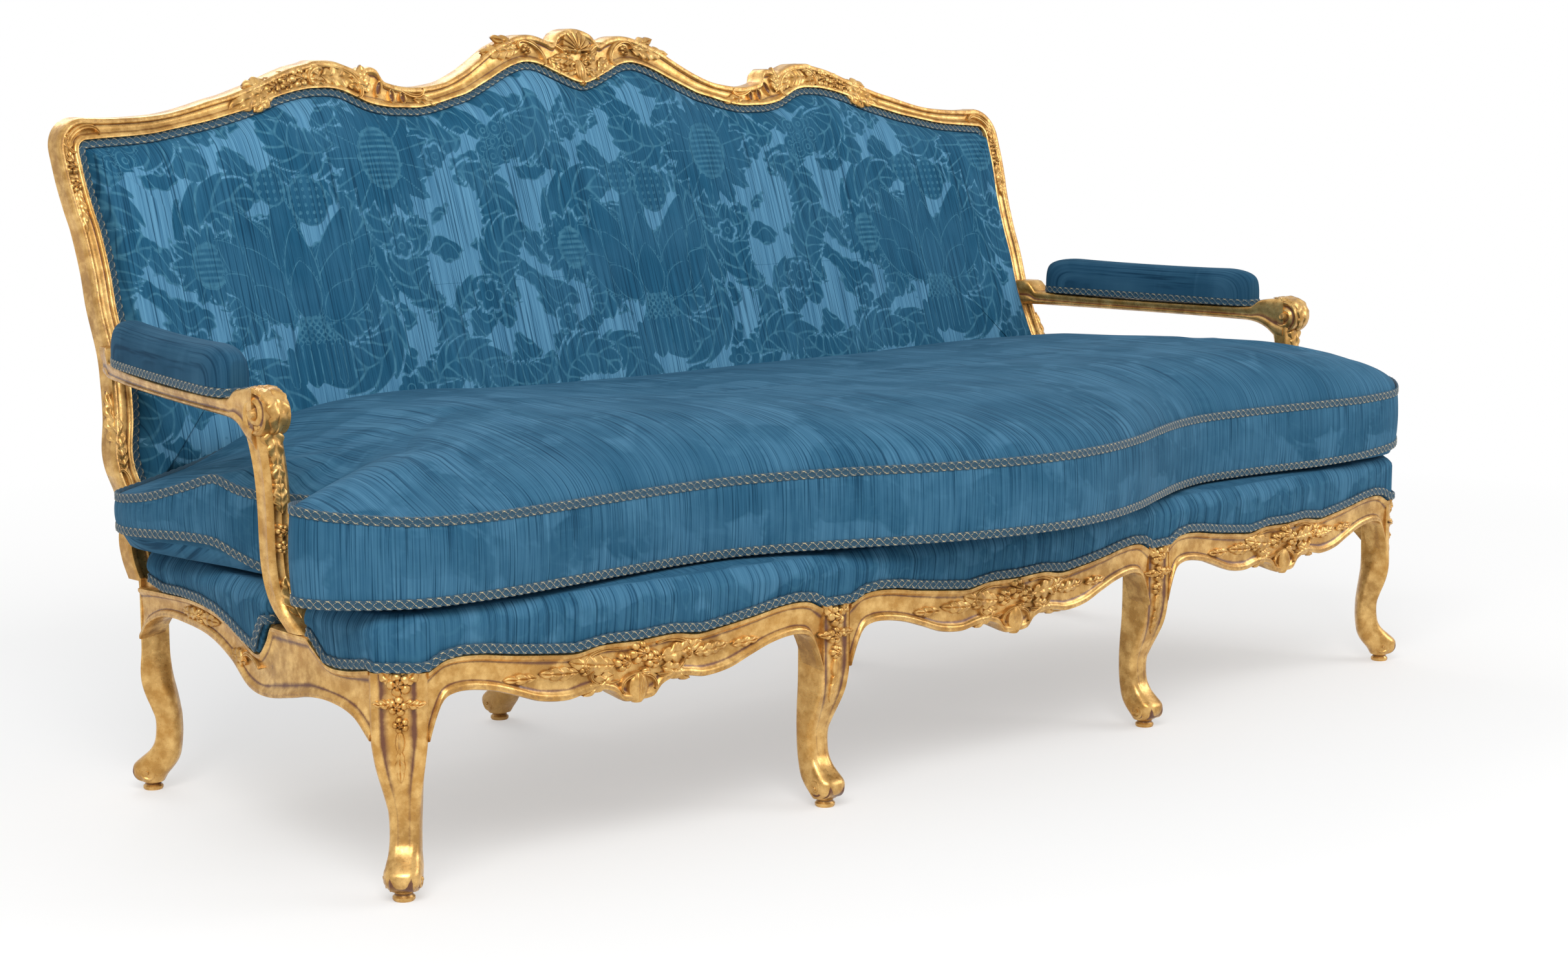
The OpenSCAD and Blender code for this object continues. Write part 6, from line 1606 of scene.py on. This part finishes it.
def makeDeck():
    rows, along = resampleLoop(deckRows, deck["columns"], 0.35)
    swell, high = deck["swell"], sofa["deckHeight"]
    middleY = sofa["seatDepth"] / 2
    padding = PaddedRings()

    def drawn(shares, z):
        return np.stack([rows[:, 0] * shares[0], middleY + (rows[:, 1] - middleY) * shares[1],
                         0 * rows[:, 0] + z], 1)

    padding.take(drawn(deckInnerShares[1], deckZ), rows[:, 0], rows[:, 1])
    padding.take(drawn(deckInnerShares[0], deckZ), rows[:, 0], rows[:, 1])
    padding.take(deckRing(rows, deck["skirt"], 1), along, deckZ)
    padding.take(deckRing(rows, deck["skirt"], 0), along, rows[:, 4])
    # how far in, how much of the way up to the deck, and how far above that
    profile = [
        (0.0015, 0, 0.0002), (0.0002, 0, 0.005), (-swell * 0.2, 0, 0.010), (-swell * 0.45, 0, 0.0158),
        (-swell * 0.8, 0.6, 0.0150), (-swell, 1, high * 0.37), (-swell * 0.96, 1, high * 0.45),
        (-swell * 0.72, 1, high * 0.54), (-swell * 0.4, 1, high * 0.62), (0.001, 1, high * 0.71),
        (0.0045, 1, high * 0.79), (deck["skirt"], 1, high * 0.86)]
    for inset, share, above in profile:
        ring = deckRing(rows, inset, share, above)
        padding.take(ring, along, ring[:, 2])
    edge = padding.rings[-1]
    for k in (0.2, 0.45, 0.7, 1.0):
        inner = drawn(deckInnerShares[0], deckZ + high * 0.965)
        ring = edge + (inner - edge) * k
        ring[:, 2] = edge[:, 2] + (inner[:, 2] - edge[:, 2]) * math.sin(k * math.pi / 2)
        padding.take(ring, ring[:, 0], ring[:, 1])
    padding.take(drawn(deckInnerShares[1], deckTopZ - 0.0002), rows[:, 0], rows[:, 1])
    part, u, v = padding.surface()
    piece = makePiece("stuffedSeat", [withDamask(part, u, v)], velvetDeck, replaced=["seat_stuffed_cover"],
                      sharp=0)


makeDeck()
print("stuffed seat is built")

# Stuffed back in the opening of the frame, and the cloth behind it
backPanel = {
    "columns": 1360, "rings": 100, "swell": 0.028, "gap": 0.0005, "clothColumns": 420, "webSeat": 0.016,
    "gimpSunk": 0.006, "figureRight": 0.03, "figureUp": 0.717, "spineShare": 0.75,
}
backMiddle = (sofa["bottomRailHigh"] + sofa["shoulder"]) / 2
gimpBed = -backPanel["gimpSunk"] - sofa["gimpThick"] / 2
rakeStretch = math.cos(math.radians(sofa["rake"]))


def openingLoop(gap):
    low = sofa["bottomRailHigh"]
    rows = [[share * (float(stileIn(low)) - gap), low + gap] for share in np.linspace(0, 1, 5)[:-1]]
    for k in np.linspace(0, 1, 24):
        z = low + gap + (cornerZ - low - gap) * k
        rows.append([float(stileIn(z)) - gap, z])
    r = sofa["cornerRadius"] - sofa["faceWidth"] - gap
    for turn in (22.5, 45, 67.5):
        a = math.radians(turn)
        rows.append([cornerX + r * math.cos(a), cornerZ + r * math.sin(a)])
    rows += [[x, float(crestLow(x)) - gap] for x in np.linspace(cornerX, 0, 90)]
    return withLeftHalf(rows, [0])


# The level line inside the opening that its rings close on
def spineOf(loop):
    reach = cornerX * backPanel["spineShare"]
    return np.stack([np.clip(loop[:, 0], -reach, reach), 0 * loop[:, 0] + backMiddle], 1)


def makeBack():
    loop = resampleLoop(openingLoop(backPanel["gap"]), backPanel["columns"], 0.3)[0]
    out = outwardOf(loop)
    bed = loop - out * (sofa["gimpWide"] + sofa["clearance"])
    hidden = (backPanel["webSeat"] - sofa["backThick"] + sofa["clearance"] + sofa["webThick"]
              + sofa["hessianThick"] + sofa["clearance"])
    padding = PaddedRings()

    def take(plan, n):
        padding.take(leant(plan[:, 0], plan[:, 1], n), plan[:, 0], plan[:, 1])

    spine = spineOf(loop)
    take(loop + (spine - loop) * 0.97, hidden)
    take(loop, hidden)
    take(loop, gimpBed)
    take(bed, gimpBed)
    riseShares = [[0, 0], [0.01, 0.2], [0.09, 0.68], [0.3, 0.93], [0.75, 1], [1, 1]]
    sideRiseShares = [[0, 0], [0.01, 0.42], [0.03, 0.78], [0.08, 0.96], [0.3, 1], [1, 1]]
    sideways = np.abs(out[:, 0]) ** 3
    for k in np.linspace(0, 1, backPanel["rings"] + 1)[1:]:
        inward = 0.999 * k ** 1.3
        rise, sideRise = float(curveAt(riseShares, inward)), float(curveAt(sideRiseShares, inward))
        rise = rise * (1 - sideways) + sideRise * sideways
        n = gimpBed + (backPanel["swell"] - gimpBed) * rise
        take(bed + (spine - bed) * inward, n)
    part, u, v = padding.surface()
    withDamask(part, u - backPanel["figureRight"], (v - backPanel["figureUp"]) / rakeStretch)
    piece = makePiece("stuffedBack", [part], velvetDamask, replaced=["back_stuffed_cover"],
                      sharp=0)


def makeOutsideCloth():
    loop = resampleLoop(openingLoop(-sofa["faceWidth"] / 2), backPanel["clothColumns"], 0.3)[0]
    thick = sofa["backThick"]
    spine = spineOf(loop)
    rings = []
    # share of the way in, and how far behind the frame
    behind = ((0.0, 0.0002), (0.0, 0.0013), (0.004, 0.0015), (0.3, 0.0015), (0.7, 0.0013), (0.999, 0.0012))
    for k, gap in behind:
        plan = loop + (spine - loop) * k
        rings.append(leant(plan[:, 0], plan[:, 1], -thick - gap))
    part = ringSurface(np.array(rings))
    piece = makePiece("outsideBackCloth", [part], outsideCloth, replaced=["outside_back_cover"],
                      sharp=0)


makeBack()
makeOutsideCloth()
print("stuffed back and its outside cloth are built")

# Arm pads
pad = {
    "height": 0.068, "width": 0.060, "rear": 0.09, "front": 0.865, "round": 0.060, "stations": 120,
    "across": 40, "squareness": 0.72, "scoop": 0.10, "gimpStations": 80,
}


def padY(k):
    a, b = [armBackY + (sofa["armSetback"] - armBackY) * share for share in (pad["rear"], pad["front"])]
    return a + (b - a) * k


def padSize(y):
    d = np.minimum(np.abs(y - padY(0)), np.abs(y - padY(1))) / pad["round"]
    return np.where(d >= 1, 1, 0.38 + 0.62 * np.sqrt(np.maximum(1 - (1 - np.minimum(d, 1)) ** 2, 0)))


def makeArmPad(side, end):
    y = padY((1 - np.cos(np.linspace(0, math.pi, pad["stations"]))) / 2)
    size = padSize(y)
    a = np.linspace(0, math.pi, pad["across"])
    w = pad["width"] / 2 * size[:, None]
    h = pad["height"] * (0.45 + 0.55 * size[:, None])
    base = armRest + armLift(y)[:, None] + sofa["clearance"]
    scoop = 1 - pad["scoop"] * np.sin(math.pi * np.linspace(0, 1, len(y)))[:, None]
    x = armX(y)[:, None] + w * np.sign(np.cos(a)) * np.abs(np.cos(a)) ** pad["squareness"]
    z = base + sofa["gimpWide"] + (h * scoop - sofa["gimpWide"]) * np.sin(a) ** pad["squareness"]
    inset = sofa["gimpThick"]
    x = np.concatenate([x[:, :1] - inset, x[:, :1] - inset, x, x[:, -1:] + inset, x[:, -1:] + inset], 1)
    z = np.concatenate([base, base + sofa["gimpWide"], z, base + sofa["gimpWide"], base], 1)
    yy = np.repeat(y[:, None], x.shape[1], 1)
    part = ringSurface(np.stack([x * side, yy, z], -1))
    withDamask(part, (x - armX(y)[:, None]) * 1.4 + 0.1, yy)
    piece = makePiece("armPad" + end, [part], velvetPad, replaced=["arm_pad_" + end.lower()],
                      sharp=50)


bothEnds = ((1, "Right"), (-1, "Left"))
for side, end in bothEnds:
    makeArmPad(side, end)
print("arm pads are built")

# Gimp: a scalloped band with looped cords, along a path with its outward and upward directions
gimp = {
    "loop": 0.0120, "step": 0.0015, "ridges": 0.0014, "scallop": 0.22, "swing": 0.72, "cord": 0.20,
    "stations": 900,
}


def gimpBand(points, outward, upward, closed, thick):
    wide = sofa["gimpWide"]
    points, outward, upward = (np.asarray(p, float) for p in (points, outward, upward))
    ahead = np.roll(points, -1, 0) if closed else points[1:]
    here = points if closed else points[:-1]
    length = np.linalg.norm(ahead - here, axis=1)
    total = np.concatenate([[0], np.cumsum(length)])
    count = int(total[-1] / gimp["step"])
    s = np.linspace(0, total[-1], count, endpoint=not closed)
    ends = np.concatenate([points, points[:1]]) if closed else points
    outs = np.concatenate([outward, outward[:1]]) if closed else outward
    ups = np.concatenate([upward, upward[:1]]) if closed else upward

    def along(rows):
        return np.stack([np.interp(s, total, rows[:, k]) for k in range(3)], 1)

    p, o, q = along(ends), along(outs), along(ups)
    o /= np.linalg.norm(o, axis=1)[:, None]
    q /= np.linalg.norm(q, axis=1)[:, None]
    phase = s * math.pi / gimp["loop"]
    c = np.array([-1, -1, -0.9, -0.72, -0.5, -0.25, 0, 0.25, 0.5, 0.72, 0.9, 1, 1])
    scallop = 1 + gimp["scallop"] * (np.abs(np.sin(phase))[:, None] - 0.6) * (np.abs(c)[None] > 0.6)
    wave = np.sin(phase)[:, None] * gimp["swing"]
    cordA = np.exp(-((c[None] - wave) / gimp["cord"]) ** 2)
    cordB = np.exp(-((c[None] + wave) / gimp["cord"]) ** 2)
    rim = np.exp(-((np.abs(c[None]) - 0.86) / 0.12) ** 2) * (0.25 + 0.6 * np.abs(np.sin(phase * 2))[:, None])
    cords = np.maximum(np.maximum(cordA, cordB), rim)
    high = thick * (0.45 + 0.25 * np.sqrt(np.maximum(1 - c**2, 0)))[None] + gimp["ridges"] * cords
    high[:, 0] = 0
    high[:, -1] = 0
    sideways = (c[None] * scallop * wide / 2)[:, :, None] * q[:, None, :]
    rings = p[:, None, :] + sideways + high[:, :, None] * o[:, None, :]
    flat = 0 * s[:, None] + 0 * c[None]
    weave = np.stack([s[:, None] + flat, c[None] * wide / 2 + flat, flat], -1)
    if closed:
        rings = np.concatenate([rings, rings[:1]])
        cords = np.concatenate([cords, cords[:1]])
        weave = np.concatenate([weave, weave[:1]])
    return ringSurface(rings, cords, closed=True, caps=not closed, weave=weave)


def layGimp(name, node, line, outward, upward, closed=True, body="frame", thicker=1.0):
    band = gimpBand(line, outward, upward, closed, sofa["gimpThick"] * thicker)
    makePiece(name, [band], loopedGimp, body=body, replaced=[node], sharp=0)


def makeCushionGimps():
    out = np.concatenate([cushionOut, np.zeros((len(cushionOut), 1))], 1)
    up = np.repeat([[0, 0, 1.0]], len(out), 0)
    for end, share in (("Top", 1), ("Bottom", 0)):
        line = borderRing(cushionPlan, cushionOut, 0.0004, share)
        layGimp("cushionGimp" + end, "cushion_gimp_" + end.lower(), line, out, up, body="cushion")


def makeSeatGimp():
    rows = deckRows[deckRearCount:len(deckRows) - deckRearCount + 1]
    inward = -deck["swell"] / 2 + rows[:, 5] * notchDepth
    low = np.minimum(rows[:, 4], sofa["frameTop"] + deck["lipGap"])
    edge = np.stack([rows[:, 0] + inward * rows[:, 2], rows[:, 1] + inward * rows[:, 3], low], 1)
    out = np.stack([-rows[:, 2], -rows[:, 3], 0 * rows[:, 0]], 1)
    # evenly spaced along the edge, so that the braid can lean with it where it climbs to the arm posts
    along = np.concatenate([[0], np.cumsum(np.linalg.norm(np.diff(edge, axis=0), axis=1))])
    even = np.linspace(0, along[-1], gimp["stations"])
    edge = np.stack([np.interp(even, along, edge[:, k]) for k in range(3)], 1)
    out = np.stack([np.interp(even, along, out[:, k]) for k in range(3)], 1)
    run = np.gradient(edge, axis=0)
    run = np.stack([np.convolve(np.pad(run[:, k], 4, "edge"), np.ones(9) / 9, "valid") for k in range(3)], 1)
    up = np.cross(run, out)
    up *= np.sign(up[:, 2:3]) / np.linalg.norm(up, axis=1)[:, None]
    line = edge + up * (0.0014 + sofa["gimpWide"] / 2)
    layGimp("seatGimp", "seat_gimp", line, out, up, closed=False)


def makeBackGimp():
    loop = resampleLoop(openingLoop(backPanel["gap"]), gimp["stations"], 0.3)[0]
    out = outwardOf(loop)
    inner = loop - out * sofa["gimpWide"] / 2
    line = leant(inner[:, 0], inner[:, 1], gimpBed + sofa["clearance"])
    up = leant(out[:, 0], out[:, 1], 0) - leant(0.0, 0.0, 0)
    forward = np.repeat([[0, -1.0, lean]], len(loop), 0)
    layGimp("backGimp", "back_gimp", line, forward, up, thicker=1.2)


def makeArmGimps():
    y = padY((1 - np.cos(np.linspace(0, math.pi, pad["gimpStations"]))) / 2)
    w = pad["width"] / 2 * padSize(y) - sofa["gimpThick"]
    for side, end in bothEnds:
        x = armX(y)
        right = np.stack([x + w, y], 1)
        left = np.stack([x - w, y], 1)[::-1]
        plan = np.concatenate([right, left])
        out = outwardOf(plan)
        if np.sum(out[:, 0] * (plan[:, 0] - armX(plan[:, 1]))) < 0:
            out = -out
        z = armRest + armLift(plan[:, 1]) + sofa["clearance"] + sofa["gimpWide"] / 2
        line = np.stack([(plan[:, 0] + out[:, 0] * sofa["clearance"]) * side,
                         plan[:, 1] + out[:, 1] * sofa["clearance"], z], 1)
        outward = np.stack([out[:, 0] * side, out[:, 1], 0 * z], 1)
        up = np.repeat([[0, 0, 1.0]], len(z), 0)
        layGimp("armGimp" + end, "arm_gimp_" + end.lower(), line, outward, up)


makeCushionGimps()
makeSeatGimp()
makeBackGimp()
makeArmGimps()
print("gimp braids are laid")
